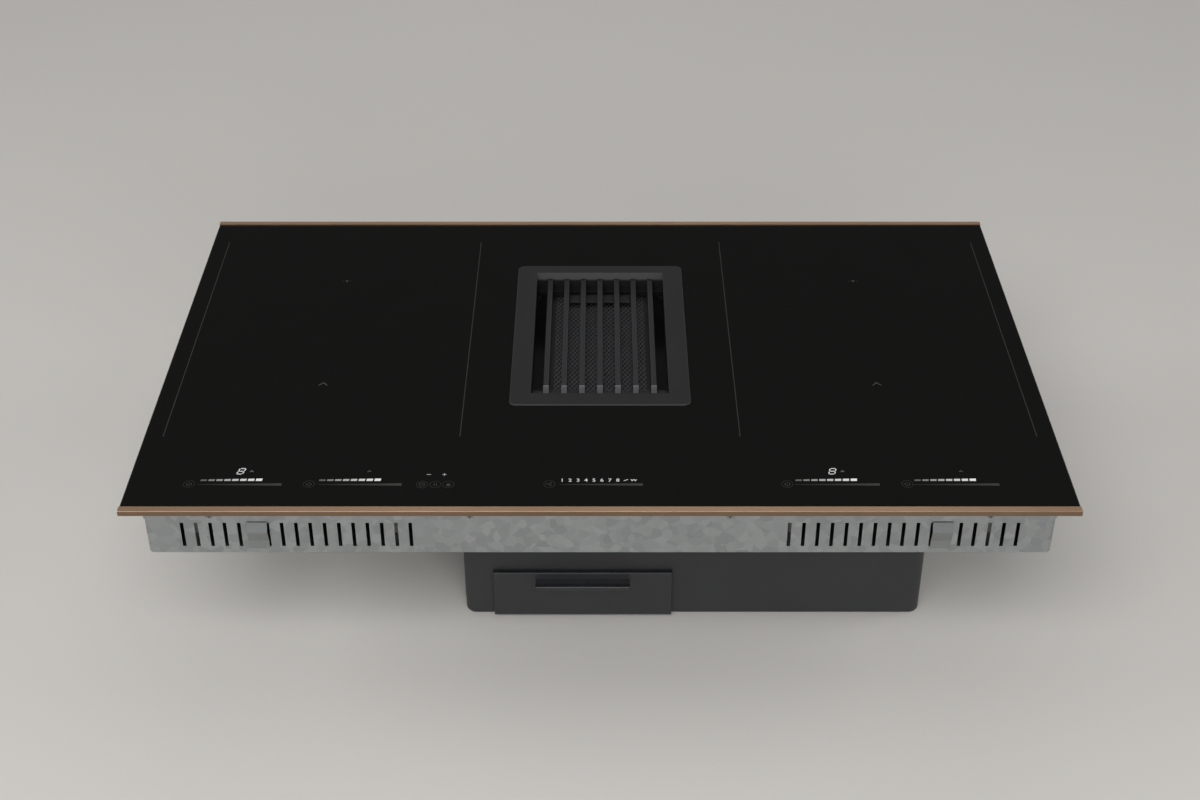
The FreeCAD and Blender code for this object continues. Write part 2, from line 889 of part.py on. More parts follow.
def spiral_edge(x, y, offset):
    # one edge of the winding: quarter turns round four fixed centres, each a quarter pitch wider
    step = coil_pitch / 4
    dx, dy = coil_core_width / 2, coil_core_depth / 2
    centres = [(x + dx, y - dy + step), (x + dx - step, y + dy),
               (x - dx, y + dy - step), (x - dx + step, y - dy)]
    edges = []
    last = None
    for quarter in range(4 * coil_turn_count):
        cx, cy = centres[quarter % 4]
        radius = coil_first_radius + quarter * step + offset
        start = quarter * pi / 2 - pi / 2
        arc = [V(cx + radius * cos(a), cy + radius * sin(a), litz_bottom)
               for a in (start, start + pi / 4, start + pi / 2)]
        if last:
            edges.append(Part.makeLine(last, arc[0]))
        edges.append(Part.Arc(*arc).toShape())
        last = arc[2]
    return edges


def coil_winding(x, y):
    inner = spiral_edge(x, y, -litz_width / 2)
    outer = spiral_edge(x, y, litz_width / 2)
    ends = [Part.makeLine(inner[0].Vertexes[0].Point, outer[0].Vertexes[0].Point),
            Part.makeLine(inner[-1].Vertexes[-1].Point, outer[-1].Vertexes[-1].Point)]
    wire = Part.Wire(Part.__sortEdges__(inner + outer + ends))
    return Part.Face(wire).extrude(V(0, 0, litz_height))


def coil_carrier(x, y):
    plate = slab(coil_area(x, y, carrier_margin), carrier_bottom, litz_bottom, coil_first_radius)
    return plate.cut(rod(x, y, carrier_bottom - 1, litz_bottom + 1, sensor_radius))


def mica_sheet(x, y):
    sheet_area = coil_area(x, y, carrier_margin)
    plate = slab(sheet_area, mica_bottom, glass_bottom, coil_first_radius)
    return plate.cut(rod(x, y, mica_bottom - 1, glass_bottom + 1, sensor_radius + sensor_gap))


def zone_sensor(x, y):
    stem = rod(x, y, carrier_bottom, glass_bottom, sensor_radius - sensor_gap)
    head = rod(x, y, litz_bottom, litz_bottom + sensor_head, sensor_radius + sensor_gap)
    return stem.fuse(head)


def ferrite_set(x, y):
    bars = []
    for i in range(ferrite_count):
        bar = slab((ferrite_start, ferrite_start + ferrite_length, -ferrite_width / 2, ferrite_width / 2),
                   ferrite_bottom, carrier_bottom)
        bar.rotate(V(0, 0, 0), UP, 360.0 * i / ferrite_count)
        bar.translate(V(x, y, 0))
        bars.append(bar)
    return bars


def shield_area(side):
    # the shield reaches past the posts, which stand beside the board
    reach = post_board_gap + post_radius + post_inset
    x0, x1, _, _ = board_area(side)
    return (x0 - reach, x1 + reach, shield_front_y, shield_rear_y)


def coil_shield(side):
    return slab(shield_area(side), shield_bottom, ferrite_bottom, casing_corner)


def shield_posts():
    posts = []
    for _, side in sides:
        x0, x1, y0, y1 = shield_area(side)
        left_x = x0 + post_inset
        right_x = x1 - post_inset
        front_y = y0 + post_from_shield_front
        middle_y = board_area(side)[3] - post_before_board_end
        rear_y = y1 - post_from_shield_rear
        places = [(x, y) for x in (left_x, right_x) for y in (front_y, middle_y)]
        # at the rear the right-hand post stands on the cooling blower's left
        places += [(left_x, rear_y), (board_area(side)[1] - cooler_from_side - post_from_cooler, rear_y)]
        posts += [rod(x, y, floor_top, shield_bottom, post_radius) for x, y in places]
    return posts


# ---- boards and cooling --------------------------------------------------

def sink_area(side):
    # the sink stands at the board's right edge, ahead of the cooling blower's mouth
    x0, x1, y0, y1 = board_area(side)
    right = x1 - sink_inset
    rear = y1 - sink_inset
    return (right - sink_width, right, rear - sink_depth, rear)


def heatsink(side):
    x0, x1, y0, y1 = sink_area(side)
    base = slab((x0, x1, y0, y1), board_top, board_top + sink_base)
    fins = [slab((x, x + sink_fin, y0, y1), board_top + sink_base - bite, board_top + sink_height)
            for x in spread(x0, x1 - sink_fin, sink_fin_count)]
    return fuse([base] + fins)


def on_board(x, y, size):
    return slab(centred(x, y, size[0], size[1]), board_top, board_top + size[2])


def choke(x, y):
    return tube(x, y, board_top, board_top + choke_height, choke_radius, choke_hole)


def inverter_parts(side):
    # the tall parts of one inverter board, in rows counted from its rear edge, beside the heat sink
    x0, _, _, rear = board_area(side)
    middle = (x0 + sink_area(side)[0]) / 2
    parts = [rod(x, rear - capacitor_row, board_top, board_top + capacitor_height, capacitor_radius)
             for x in row(middle, capacitor_pitch, capacitor_count)]
    parts += [on_board(x, rear - film_row, film_capacitor) for x in row(middle, film_pitch, 2)]
    parts += [choke(x, rear - choke_row) for x in row(middle, choke_pitch, 2)]
    parts += [on_board(x, rear - relay_row, relay) for x in row(middle, relay_pitch, relay_count)]
    return parts


def mains_parts():
    x0, x1, y0, y1 = mains_board_area()
    x, y = (x0 + x1) / 2, (y0 + y1) / 2
    parts = [choke(at, y) for at in row(x, mains_choke_pitch, 2)]
    return parts + [on_board(x, at, film_capacitor) for at in row(y, mains_film_pitch, 2)]


def scroll_prism(first, growth, mouth_left, mouth_y, offset, z0, z1):
    # a volute round the origin: three quarter turns, each one step wider, then a mouth towards +Y
    r0, r1, r2 = first + offset, first + growth + offset, first + 2 * growth + offset
    centres = [(0, 0, r0), (growth, 0, r1), (growth, growth, r2)]
    edges = []
    for i, (cx, cy, radius) in enumerate(centres):
        start = (i + 1) * pi / 2
        arc = [V(cx + radius * cos(a), cy + radius * sin(a), z0)
               for a in (start, start + pi / 4, start + pi / 2)]
        edges.append(Part.Arc(*arc).toShape())
    right = growth + r2
    corner = V(right, r0, z0)
    edges.append(Part.makeLine(V(right, growth, z0), corner))
    edges.append(Part.makeLine(corner, V(0, r0, z0)))
    swirl = Part.Face(Part.Wire(edges)).extrude(V(0, 0, z1 - z0))
    # the mouth's left wall leaves the tongue at the slant set by the mouth's corner
    slant = atan2(mouth_y - first, mouth_left)
    side = (offset * sin(slant), -offset * cos(slant))
    shift = (-abs(side[0]), -abs(side[1]))
    channel = prism_z([(right, growth), (right, mouth_y), (mouth_left - offset, mouth_y),
                       (mouth_left + shift[0], mouth_y + shift[1]), (shift[0], first + shift[1]),
                       (0, growth)], z0, z1)
    return swirl.fuse(channel).removeSplitter()


def cooler_prism(offset, z0, z1):
    return scroll_prism(cooler_first_radius, cooler_growth, cooler_mouth_left, cooler_mouth_y, offset, z0, z1)


def cooler_case(x):
    z0 = floor_top
    z1 = z0 + cooler_height
    case = cooler_prism(cooler_wall, z0, z1)
    case = case.cut(cooler_prism(0, z0 + cooler_wall, z1 - cooler_wall))
    mouth = slab((cooler_mouth_left, cooler_first_radius + 3 * cooler_growth, cooler_mouth_y - 1,
                  cooler_mouth_y + 1), z0 + cooler_wall, z1 - cooler_wall)
    case = case.cut(mouth)
    case = case.cut(rod(cooler_growth / 2, 0, z0 - 1, z0 + cooler_wall + 1, cooler_inlet_radius))
    pin = rod(cooler_growth / 2, 0, z0 + cooler_height / 3, z1 - cooler_wall / 2, cooler_pin_radius)
    return place_cooler(fuse([case, pin]), x)


def place_cooler(shape, x):
    # the mouth looks to the front, and the wheel's axis stands at (x, cooler_y)
    shape.translate(V(-cooler_growth / 2, 0, 0))
    shape.rotate(V(0, 0, 0), UP, 180)
    shape.translate(V(x, cooler_y, 0))
    return shape


def blade(angle, inner, outer, sweep, thickness, z0, z1):
    # one forward-curved blade between two radii
    def on(radius, turn):
        a = angle + turn + thickness / radius
        return V(radius * cos(a), radius * sin(a), z0)

    def off(radius, turn):
        a = angle + turn
        return V(radius * cos(a), radius * sin(a), z0)

    middle = (inner + outer) / 2
    bow = sweep * blade_bow_share
    edges = [Part.Arc(off(inner, 0), off(middle, bow), off(outer, sweep)).toShape(),
             Part.makeLine(off(outer, sweep), on(outer, sweep)),
             Part.Arc(on(outer, sweep), on(middle, bow), on(inner, 0)).toShape(),
             Part.makeLine(on(inner, 0), off(inner, 0))]
    return Part.Face(Part.Wire(edges)).extrude(V(0, 0, z1 - z0))


def blade_ring(count, inner, outer, thickness, z0, z1):
    sweep = blade_sweep_share * (outer - inner) / outer
    return [blade(2 * pi * i / count, inner, outer, sweep, thickness, z0, z1) for i in range(count)]


def cooler_wheel(x):
    top = floor_top + cooler_height - cooler_wall - cooler_axial_gap
    low = floor_top + cooler_wall + cooler_axial_gap
    bore = cooler_pin_radius + cooler_running_gap
    disc = rod(0, 0, top - cooler_wall, top, cooler_wheel_radius)
    hub = rod(0, 0, floor_top + cooler_height / 3, top, cooler_hub_radius)
    inner = cooler_wheel_radius - cooler_blade_depth
    blades = blade_ring(cooler_blade_count, inner, cooler_wheel_radius - bite / 2, cooler_blade_thickness,
                        low + bite, top - cooler_wall + bite)
    band = tube(0, 0, low, low + cooler_wall, cooler_wheel_radius, inner)
    wheel = fuse([disc, hub, band] + blades).cut(rod(0, 0, low - 1, top + 1, bore))
    wheel.translate(V(x, cooler_y, 0))
    return wheel


# ---- mains entry ---------------------------------------------------------

def terminal_block():
    body = slab((block_x, block_x + block_length, block_y, block_y + block_depth),
                floor_top, floor_top + block_height)
    middle = floor_top + block_height / 2
    for x in row(block_x + block_length / 2, block_length / block_pole_count, block_pole_count):
        driver_hole = rod(x, block_y + block_depth / 2, middle, floor_top + block_height + 1, pole_radius)
        wire_hole = Part.makeCylinder(pole_radius, block_depth / 2, V(x, block_y - 1, middle), V(0, 1, 0))
        body = body.cut(driver_hole).cut(wire_hole)
    return body


def terminal_cover():
    y, z = hatch_hinge()
    top = casing_bottom - hatch_gap
    plate = slab((hatch_x - hatch_overlap, hatch_x + hatch_width + hatch_overlap,
                  hatch_y - hatch_overlap, hatch_y + hatch_depth + hatch_overlap), top - hatch_sheet, top)
    pieces = [plate]
    for x0, x1 in knuckle_spans():
        pieces.append(bar_x(x0, x1, y, z, hinge_radius))
        pieces.append(slab((x0, x1, y, hatch_y - hatch_overlap + 1), top - hatch_sheet, top))
        over = hinge_side_gap + hinge_ear
        pieces.append(bar_x(x0 - over, x1 + over, y, z, hinge_pin_radius))
    # a turned lip along the free edge takes a fingertip
    lip = slab((hatch_x, hatch_x + hatch_width, hatch_y + hatch_depth + hatch_overlap - hatch_sheet,
                hatch_y + hatch_depth + hatch_overlap), top - 4 * hatch_sheet, top)
    return fuse(pieces + [lip])


def cable_gland():
    low = casing_bottom - gland_drop
    top = floor_top + gland_nut
    collar = rod(gland_x, gland_y, low, casing_bottom, gland_radius)
    neck = rod(gland_x, gland_y, casing_bottom, floor_top, gland_neck_radius)
    nut = rod(gland_x, gland_y, floor_top, top, gland_radius)
    body = fuse([collar, neck, nut])
    rim = [e for e in body.Edges if abs(e.BoundBox.ZMax - low) < 0.01]
    body = body.makeChamfer(gland_radius - gland_neck_radius, rim)
    return body.cut(rod(gland_x, gland_y, low - 1, top + 1, gland_bore))


# ---- touch controls ------------------------------------------------------

def touch_board():
    return slab(touch_area, touch_top_z - board_thickness, touch_top_z)


def touch_carrier():
    # a tray under the touch board on legs that stand on the casing's floor
    under = touch_top_z - board_thickness
    low = under - touch_carrier_drop
    outer = grow(touch_area, touch_carrier_wall)
    ledge = grow(touch_area, -touch_carrier_wall)
    tray = slab(outer, low - touch_carrier_floor, touch_top_z)
    tray = tray.cut(slab(touch_area, under, touch_top_z + 1)).cut(slab(ledge, low, touch_top_z + 1))
    y = (outer[2] + outer[3]) / 2
    first = outer[0] + 3 * touch_leg_radius
    last = outer[1] - 3 * touch_leg_radius
    legs = [rod(x, y, floor_top, low, touch_leg_radius) for x in spread(first, last, touch_leg_count)]
    return fuse([tray] + legs)


def touch_springs():
    bore = touch_spring_radius - touch_spring_wall
    return [tube(x, touch_front_y + key_row, touch_top_z, glass_bottom, touch_spring_radius, bore)
            for x in across(keys_from_left, keys_from_middle, keys_from_right)]


def display_modules():
    modules = []
    y = touch_front_y + slider_row
    for x in across(sliders_from_left, sliders_from_middle, sliders_from_right):
        area = centred(x + slider_length / 2, y, slider_length, slider_module_depth)
        modules.append(slab(area, touch_top_z, glass_bottom))
    for x in across(digits_from_left, (), digits_from_right):
        area = centred(x, touch_front_y + digit_row, *digit_module)
        modules.append(slab(area, touch_top_z, glass_bottom))
    return modules


# ---- lower housing -------------------------------------------------------

def housing_screw_places():
    x0, x1, y0, y1 = grow(housing_inside, -boss_inset)
    middle = partition_x - boss_inset
    return [(x, y) for x in (x0, middle, x1) for y in (y0, y1)]


def housing_screws():
    screws = []
    for x, y in housing_screw_places():
        shank = rod(x, y, floor_top - housing_screw_length, floor_top, screw_radius)
        screws.append(shank.fuse(rod(x, y, floor_top, floor_top + screw_head, screw_head_radius)))
    return screws


def housing_lid_plate():
    area = grow(housing_area, lid_overhang)
    plate = slab(area, lid_bottom, casing_bottom, housing_corner + lid_overhang)
    holes = [rod(x, y, lid_bottom - 1, casing_bottom + 1, screw_hole_radius)
             for x, y in housing_screw_places()]
    holes.append(slab(grow(shaft_area, shaft_gap), lid_bottom - 1, casing_bottom + 1))
    return cut_all(plate, holes)


def tank_mouth():
    # the opening for the tank in the tub's front wall
    area = grow(tank_area, tank_side_gap)
    return slab((area[0], area[1], housing_front_y - 1, housing_front_y + housing_wall + 1),
                tub_floor, tub_floor + tank_floor_gap + tank_height + tank_top_gap)


def tank_runners():
    # two ribs on the tub's floor guide the tank
    runners = []
    for x in (tank_left_x - runner_gap - runner_thickness, tank_right_x + runner_gap):
        runners.append(slab((x, x + runner_thickness, housing_front_y + 4 * housing_wall, tank_rear_y),
                            tub_floor - bite, tub_floor + runner_height))
    return runners


def scroll_feet():
    return [rod(x, y, tub_floor - bite, duct_bottom, scroll_foot_radius)
            for x in row(wheel_x, 2 * scroll_foot_reach, 2)
            for y in row(wheel_y, 2 * scroll_foot_reach, 2)]


def outer_ribs():
    # upright ribs stiffen the side walls and the rear wall beside the outlet
    x0, x1, y0, y1 = housing_area
    z0, z1 = base_z + 2 * housing_foot_rounding, lid_bottom
    ribs = []
    count = int((y1 - y0 - 4 * housing_corner) / rib_pitch)
    thick = rib_depth + housing_wall / 2
    for y in spread(y0 + 2 * housing_corner, y1 - 2 * housing_corner, count + 1):
        for x in (x0 - rib_depth, x1 - housing_wall / 2):
            ribs.append(slab((x, x + thick, y - rib_width / 2, y + rib_width / 2), z0, z1))
    free = duct_x0 - duct_flange - x0
    count = int((free - 3 * housing_corner) / rib_pitch)
    for x in spread(x0 + 2 * housing_corner, x0 + free - housing_corner, count + 1):
        ribs.append(slab((x - rib_width / 2, x + rib_width / 2, y1 + rib_depth - thick, y1 + rib_depth),
                         z0, z1))
    return ribs


def housing_tub():
    body = slab(housing_area, base_z, lid_bottom, housing_corner)
    foot = [e for e in body.Edges if e.BoundBox.ZMax < base_z + 0.01]
    body = body.makeFillet(housing_foot_rounding, foot)
    body = body.cut(slab(housing_inside, tub_floor, lid_bottom + 1, housing_corner - housing_wall))
    x0, x1, y0, y1 = housing_inside
    partition = slab((partition_x, partition_x + housing_wall, y0 - 1, y1 + 1),
                     tub_floor - bite, partition_top)
    bosses = []
    for x, y in housing_screw_places():
        edge_y = y0 - 1 if y < 0 else y1 + 1
        web = slab((x - housing_wall / 2, x + housing_wall / 2, min(y, edge_y), max(y, edge_y)),
                   lid_bottom - boss_height, lid_bottom)
        bosses.append(rod(x, y, lid_bottom - boss_height, lid_bottom, boss_radius))
        bosses.append(web)
    body = fuse([body, partition] + bosses + outer_ribs() + tank_runners() + scroll_feet())
    holes = [rod(x, y, lid_bottom - boss_height + boss_floor, lid_bottom + 1, screw_hole_radius)
             for x, y in housing_screw_places()]
    holes.append(tank_mouth())
    holes.append(slab(grow((duct_x0, duct_x1, y1 - 1, housing_rear_y + 1), duct_fit),
                      duct_bottom - duct_fit, duct_top + duct_fit))
    return cut_all(body, holes)


# ---- outlet --------------------------------------------------------------

def duct_shell(y0, y1, grown):
    return slab((duct_x0 - grown, duct_x1 + grown, y0, y1), duct_bottom - grown, duct_top + grown)


def flap_levels():
    # hinge line and lower edge of the upper and the lower flap
    low, high = duct_bottom + duct_wall, duct_top - duct_wall
    half = (high - low) / 2
    levels = []
    for name, top in (("upper", high), ("lower", high - half)):
        axis = top - flap_end_gap - flap_barrel_radius
        levels.append((name, axis, top - half + flap_end_gap))
    return levels


def outlet_spigot():
    body = duct_shell(duct_start_y, duct_end_y, 0)
    flange_y = housing_inside[3] - duct_flange_thickness
    body = body.fuse(duct_shell(flange_y, housing_inside[3], duct_flange))
    body = body.cut(duct_shell(duct_start_y - 1, duct_end_y + 1, -duct_wall))
    body = fuse([body] + flap_stops())
    bores = [bar_x(duct_x0 - 1, duct_x1 + 1, flap_axis_y, axis, flap_pin_radius + flap_running_gap)
             for _, axis, _ in flap_levels()]
    return cut_all(body, bores)


def flap_leaf():
    # the leaf lies behind its hinge line, so that its weight closes it
    rear = flap_axis_y + flap_barrel_radius
    return rear - flap_thickness, rear


def flap_stops():
    # a cross bar and two side bars ahead of each leaf
    y1 = flap_leaf()[0] - flap_seat_gap
    y0 = y1 - flap_stop_thickness
    left, right = duct_x0 + duct_wall - bite, duct_x1 - duct_wall + bite
    side = bite + flap_stop
    stops = []
    for _, axis, edge in flap_levels():
        low = edge - flap_end_gap - bite
        high = axis - flap_barrel_radius - flap_end_gap
        stops.append(slab((left, right, y0, y1), low, edge + flap_stop))
        stops.append(slab((left, left + side, y0, y1), low, high))
        stops.append(slab((right - side, right, y0, y1), low, high))
    return stops


def outlet_flap(axis, low):
    x0 = duct_x0 + duct_wall + flap_side_gap
    x1 = duct_x1 - duct_wall - flap_side_gap
    front, rear = flap_leaf()
    leaf = slab((x0, x1, front, rear), low, axis)
    barrel = bar_x(x0, x1, flap_axis_y, axis, flap_barrel_radius)
    pin = bar_x(duct_x0 + duct_wall / 2, duct_x1 - duct_wall / 2, flap_axis_y, axis, flap_pin_radius)
    return fuse([leaf, barrel, pin])


# ---- main blower ---------------------------------------------------------

def blower_prism(offset, z0, z1):
    shape = scroll_prism(scroll_first_radius, scroll_growth, duct_x0 + duct_wall - blower_x,
                         scroll_length, offset, z0, z1)
    shape.translate(V(blower_x, blower_y, 0))
    return shape


def scroll_body():
    # base plate and wall in one moulding; the cover closes it
    top = duct_top - scroll_plate
    body = blower_prism(scroll_wall, duct_bottom, top)
    body = body.cut(blower_prism(0, duct_bottom + scroll_plate, top + 1))
    mouth = slab((duct_x0 + duct_wall, duct_x1 - duct_wall, duct_start_y - 1, duct_start_y + 1),
                 duct_bottom + duct_wall, top + 1)
    return body.cut(mouth)


def scroll_cover():
    plate = blower_prism(scroll_wall, duct_top - scroll_plate, duct_top)
    throat = inlet_throat_radius + inlet_wall + inlet_fit
    return plate.cut(rod(wheel_x, wheel_y, duct_top - scroll_plate - 1, duct_top + 1, throat))


def inlet_ring():
    r0 = inlet_throat_radius
    w = inlet_wall
    top = duct_top + w
    low = duct_top - inlet_depth
    round_x, round_z = r0 + inlet_round, top - inlet_round
    section = [V(round_x, 0, top), V(r0 + inlet_flange, 0, top), V(r0 + inlet_flange, 0, duct_top),
               V(r0 + w, 0, duct_top), V(r0 + w, 0, low), V(r0, 0, low), V(r0, 0, round_z)]
    edges = [Part.makeLine(a, b) for a, b in zip(section, section[1:])]
    halfway = inlet_round * cos(pi / 4)
    edges.append(Part.Arc(section[-1], V(round_x - halfway, 0, round_z + halfway), section[0]).toShape())
    ring_body = Part.Face(Part.Wire(edges)).revolve(V(0, 0, 0), UP, 360)
    ring_body.translate(V(wheel_x, wheel_y, 0))
    return ring_body


def impeller():
    backplate = tube(0, 0, wheel_bottom, wheel_bottom + wheel_plate, wheel_radius, motor_radius)
    top_ring = tube(0, 0, wheel_top - wheel_plate, wheel_top, wheel_radius, wheel_inner_radius + bite)
    blades = blade_ring(wheel_blade_count, wheel_inner_radius, wheel_radius - bite / 2, wheel_blade_thickness,
                        wheel_bottom + wheel_plate - bite, wheel_top - wheel_plate + bite)
    wheel = fuse([backplate, top_ring] + blades)
    wheel.translate(V(wheel_x, wheel_y, 0))
    return wheel


def motor_levels():
    return wheel_bottom, wheel_bottom + motor_height


def motor_rotor():
    low, top = motor_levels()
    cup = rod(wheel_x, wheel_y, low, top, motor_radius)
    cup = cup.cut(rod(wheel_x, wheel_y, low - 1, top - motor_cup_wall, motor_radius - motor_cup_wall))
    shaft = rod(wheel_x, wheel_y, duct_bottom + scroll_plate + motor_flange, top - 1, motor_shaft_radius)
    return fuse([cup, shaft])


def motor_stator():
    low, top = motor_levels()
    floor = duct_bottom + scroll_plate
    core_radius = motor_radius - motor_cup_wall - motor_air_gap
    core_top = top - 2 * motor_cup_wall
    flange = rod(wheel_x, wheel_y, floor, floor + motor_flange, motor_flange_radius)
    neck = rod(wheel_x, wheel_y, floor, core_top, core_radius / 2)
    core = rod(wheel_x, wheel_y, low + motor_cup_wall, core_top, core_radius)
    slots = []
    for i in range(motor_pole_count):
        slot = slab((core_radius / 2 + motor_slot, core_radius + 1, -motor_slot / 2, motor_slot / 2),
                    low, top)
        slot.rotate(V(0, 0, 0), UP, 360.0 * i / motor_pole_count)
        slot.translate(V(wheel_x, wheel_y, 0))
        slots.append(slot)
    bore = rod(wheel_x, wheel_y, floor + motor_flange, top + 1, motor_shaft_radius + motor_running_gap)
    return cut_all(fuse([flange, neck, cut_all(core, slots)]), [bore])


# ---- overflow tank -------------------------------------------------------

def tank_levels():
    low = tub_floor + tank_floor_gap
    return low, low + tank_height


def overflow_tank():
    low, top = tank_levels()
    x0, x1, y0, y1 = tank_area
    seat = housing_front_y - tank_seal_thickness
    tray = slab((x0, x1, seat - 1, y1), low, top)
    upright = [e for e in tray.Edges if e.BoundBox.ZLength > 1 and e.BoundBox.YMin > y1 - 0.01]
    tray = tray.makeFillet(tank_corner, upright)
    inner = (x0 + tank_wall, x1 - tank_wall, y0, y1 - tank_wall)
    tray = tray.cut(slab(inner, low + tank_wall, top + 1, tank_corner - tank_wall))
    panel = slab(panel_face(), low, top + tank_top_gap + tank_panel_overlap)
    front = [e for e in panel.Edges if abs(e.CenterOfMass.y - (seat - tank_panel)) < 0.01]
    panel = panel.makeFillet(tank_panel / 3, front)
    middle = (x0 + x1) / 2
    grip = slab((middle - grip_width / 2, middle + grip_width / 2, seat - tank_panel - grip_depth, seat - 1),
                top - grip_height, top)
    outer = [e for e in grip.Edges if e.BoundBox.YMax < seat - tank_panel - grip_depth + 0.01]
    return fuse([tray, panel, grip.makeFillet(grip_height / 3, outer)])


def panel_face():
    seat = housing_front_y - tank_seal_thickness
    reach = tank_side_gap + tank_panel_overlap
    return (tank_left_x - reach, tank_right_x + reach, seat - tank_panel, seat)


def tank_seal():
    low, top = tank_levels()
    outer = (panel_face()[0], panel_face()[1])
    high = top + tank_top_gap + tank_panel_overlap
    w = tank_seal_width
    block = slab((outer[0], outer[1], housing_front_y - tank_seal_thickness, housing_front_y), low, high)
    hole = slab((outer[0] + w, outer[1] - w, housing_front_y - tank_seal_thickness - 1, housing_front_y + 1),
                low - 1, high - w)
    return block.cut(hole)


# ---- write every piece ---------------------------------------------------

os.makedirs("parts", exist_ok=True)

save("glass_top", glass_plate())
save("front_trim", trim(-1))
save("rear_trim", trim(1))
save("worktop_gasket", worktop_seal())
save("vent_frame", vent_frame())
save("vent_frame_gasket", vent_frame_seal())
save("vent_grille", grille())
save("grille_feet", grille_feet())
save("filter_frame", filter_basket())
save("filter_mesh", filter_meshes())
save("filter_handle", filter_handle())
save("intake_shaft", intake_shaft())
save("support_frame", support_frame())
save("casing_floor", casing_floor())
save("casing_walls", casing_walls())
save("casing_screws", casing_screws())
save("side_springs", side_springs())

for name, x, y in coil_places():
    save("coil_winding_" + name, coil_winding(x, y))
save("coil_carriers", [coil_carrier(x, y) for _, x, y in coil_places()])
save("mica_sheets", [mica_sheet(x, y) for _, x, y in coil_places()])
save("zone_sensors", [zone_sensor(x, y) for _, x, y in coil_places()])
save("ferrite_bars", [bar for _, x, y in coil_places() for bar in ferrite_set(x, y)])
save("coil_shields", [coil_shield(side) for _, side in sides])
save("shield_posts", shield_posts())

for name, side in sides:
    save("inverter_board_" + name, slab(board_area(side), board_bottom, board_top))
    save("inverter_parts_" + name, inverter_parts(side))
    save("heatsink_" + name, heatsink(side))
for name, x in cooler_places():
    save("cooling_blower_case_" + name, cooler_case(x))
    save("cooling_blower_wheel_" + name, cooler_wheel(x))

save("mains_filter_board", slab(mains_board_area(), board_bottom, board_top))
save("mains_filter_parts", mains_parts())
save("touch_board", touch_board())
save("touch_board_carrier", touch_carrier())
save("touch_springs", touch_springs())
save("display_modules", display_modules())
save("terminal_block", terminal_block())
save("terminal_cover", terminal_cover())
save("cable_gland", cable_gland())

save("lower_housing_lid", housing_lid_plate())
save("lower_housing_tub", housing_tub())
save("housing_screws", housing_screws())
save("blower_scroll", scroll_body())
save("scroll_cover", scroll_cover())
save("inlet_ring", inlet_ring())
save("impeller", impeller())
save("motor_rotor", motor_rotor())
save("motor_stator", motor_stator())
save("outlet_spigot", outlet_spigot())
for name, axis, low in flap_levels():
    save("outlet_flap_" + name, outlet_flap(axis, low))
save("overflow_tank", overflow_tank())
save("tank_seal", tank_seal())
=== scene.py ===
import math

import bmesh
import bpy
from mathutils import Matrix, Vector


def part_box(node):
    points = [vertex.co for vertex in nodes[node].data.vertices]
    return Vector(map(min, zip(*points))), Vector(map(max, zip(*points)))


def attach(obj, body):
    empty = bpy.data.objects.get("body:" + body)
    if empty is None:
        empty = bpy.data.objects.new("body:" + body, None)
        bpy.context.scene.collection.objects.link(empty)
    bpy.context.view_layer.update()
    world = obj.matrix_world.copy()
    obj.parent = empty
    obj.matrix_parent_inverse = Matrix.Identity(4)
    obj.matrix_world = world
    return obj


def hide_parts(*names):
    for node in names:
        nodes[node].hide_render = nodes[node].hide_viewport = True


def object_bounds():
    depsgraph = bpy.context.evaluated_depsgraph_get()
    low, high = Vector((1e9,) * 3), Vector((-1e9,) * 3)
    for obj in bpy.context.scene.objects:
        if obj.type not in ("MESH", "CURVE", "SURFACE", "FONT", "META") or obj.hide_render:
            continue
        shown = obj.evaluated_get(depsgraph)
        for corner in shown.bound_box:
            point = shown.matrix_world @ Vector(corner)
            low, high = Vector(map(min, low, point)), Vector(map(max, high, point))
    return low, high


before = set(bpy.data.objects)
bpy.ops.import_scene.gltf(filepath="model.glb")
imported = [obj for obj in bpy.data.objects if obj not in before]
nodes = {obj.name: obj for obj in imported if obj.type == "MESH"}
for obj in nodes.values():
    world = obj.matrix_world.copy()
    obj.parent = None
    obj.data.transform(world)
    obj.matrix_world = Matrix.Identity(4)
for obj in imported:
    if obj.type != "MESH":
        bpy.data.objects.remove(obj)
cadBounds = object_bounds()
mm = 0.001
print("frame loaded:", len(nodes), "nodes")


# camera and room

camera = {
    "place": (0.0, -1.4817, 0.9609),
    "lookingDown": 34.42,  # degrees below the horizon
    "lens": 54.14,
}
room = {
    "floorColour": "#dbd8d3",
    "floorCloud": "#d9d6d1",
    "floorSize": 14.0,
    "heights": (0.20, 0.34, 0.76, 0.90),  # sines of the heights between which the world's strength changes
    "strengths": (0.80, 0.045, 0.045, 0.30),  # horizon, wall, wall and ceiling
    "lamps": {  # place, size, power in watts
        "softboxOverhead": ((-0.45, -1.9, 2.1), (2.2, 1.2), 40.0),
        "softboxRear": ((0.1, 1.9, 2.5), (2.4, 0.9), 9.0),
        "fillFront": ((0.5, -3.2, 1.1), (2.2, 1.0), 30.0),
        "fillLeft": ((-3.0, 0.2, 1.7), (1.4, 1.4), 20.0),
        "fillRight": ((3.0, 0.4, 1.7), (1.4, 1.4), 16.0),
        "fillBack": ((0.0, 3.4, 0.25), (2.6, 0.5), 14.0),
    },
}


def linear(hexColour):
    # sRGB hex to the linear colour that shaders work in
    parts = [int(hexColour[i:i + 2], 16) / 255 for i in (1, 3, 5)]
    return tuple(c / 12.92 if c <= 0.04045 else ((c + 0.055) / 1.055) ** 2.4 for c in parts) + (1.0,)


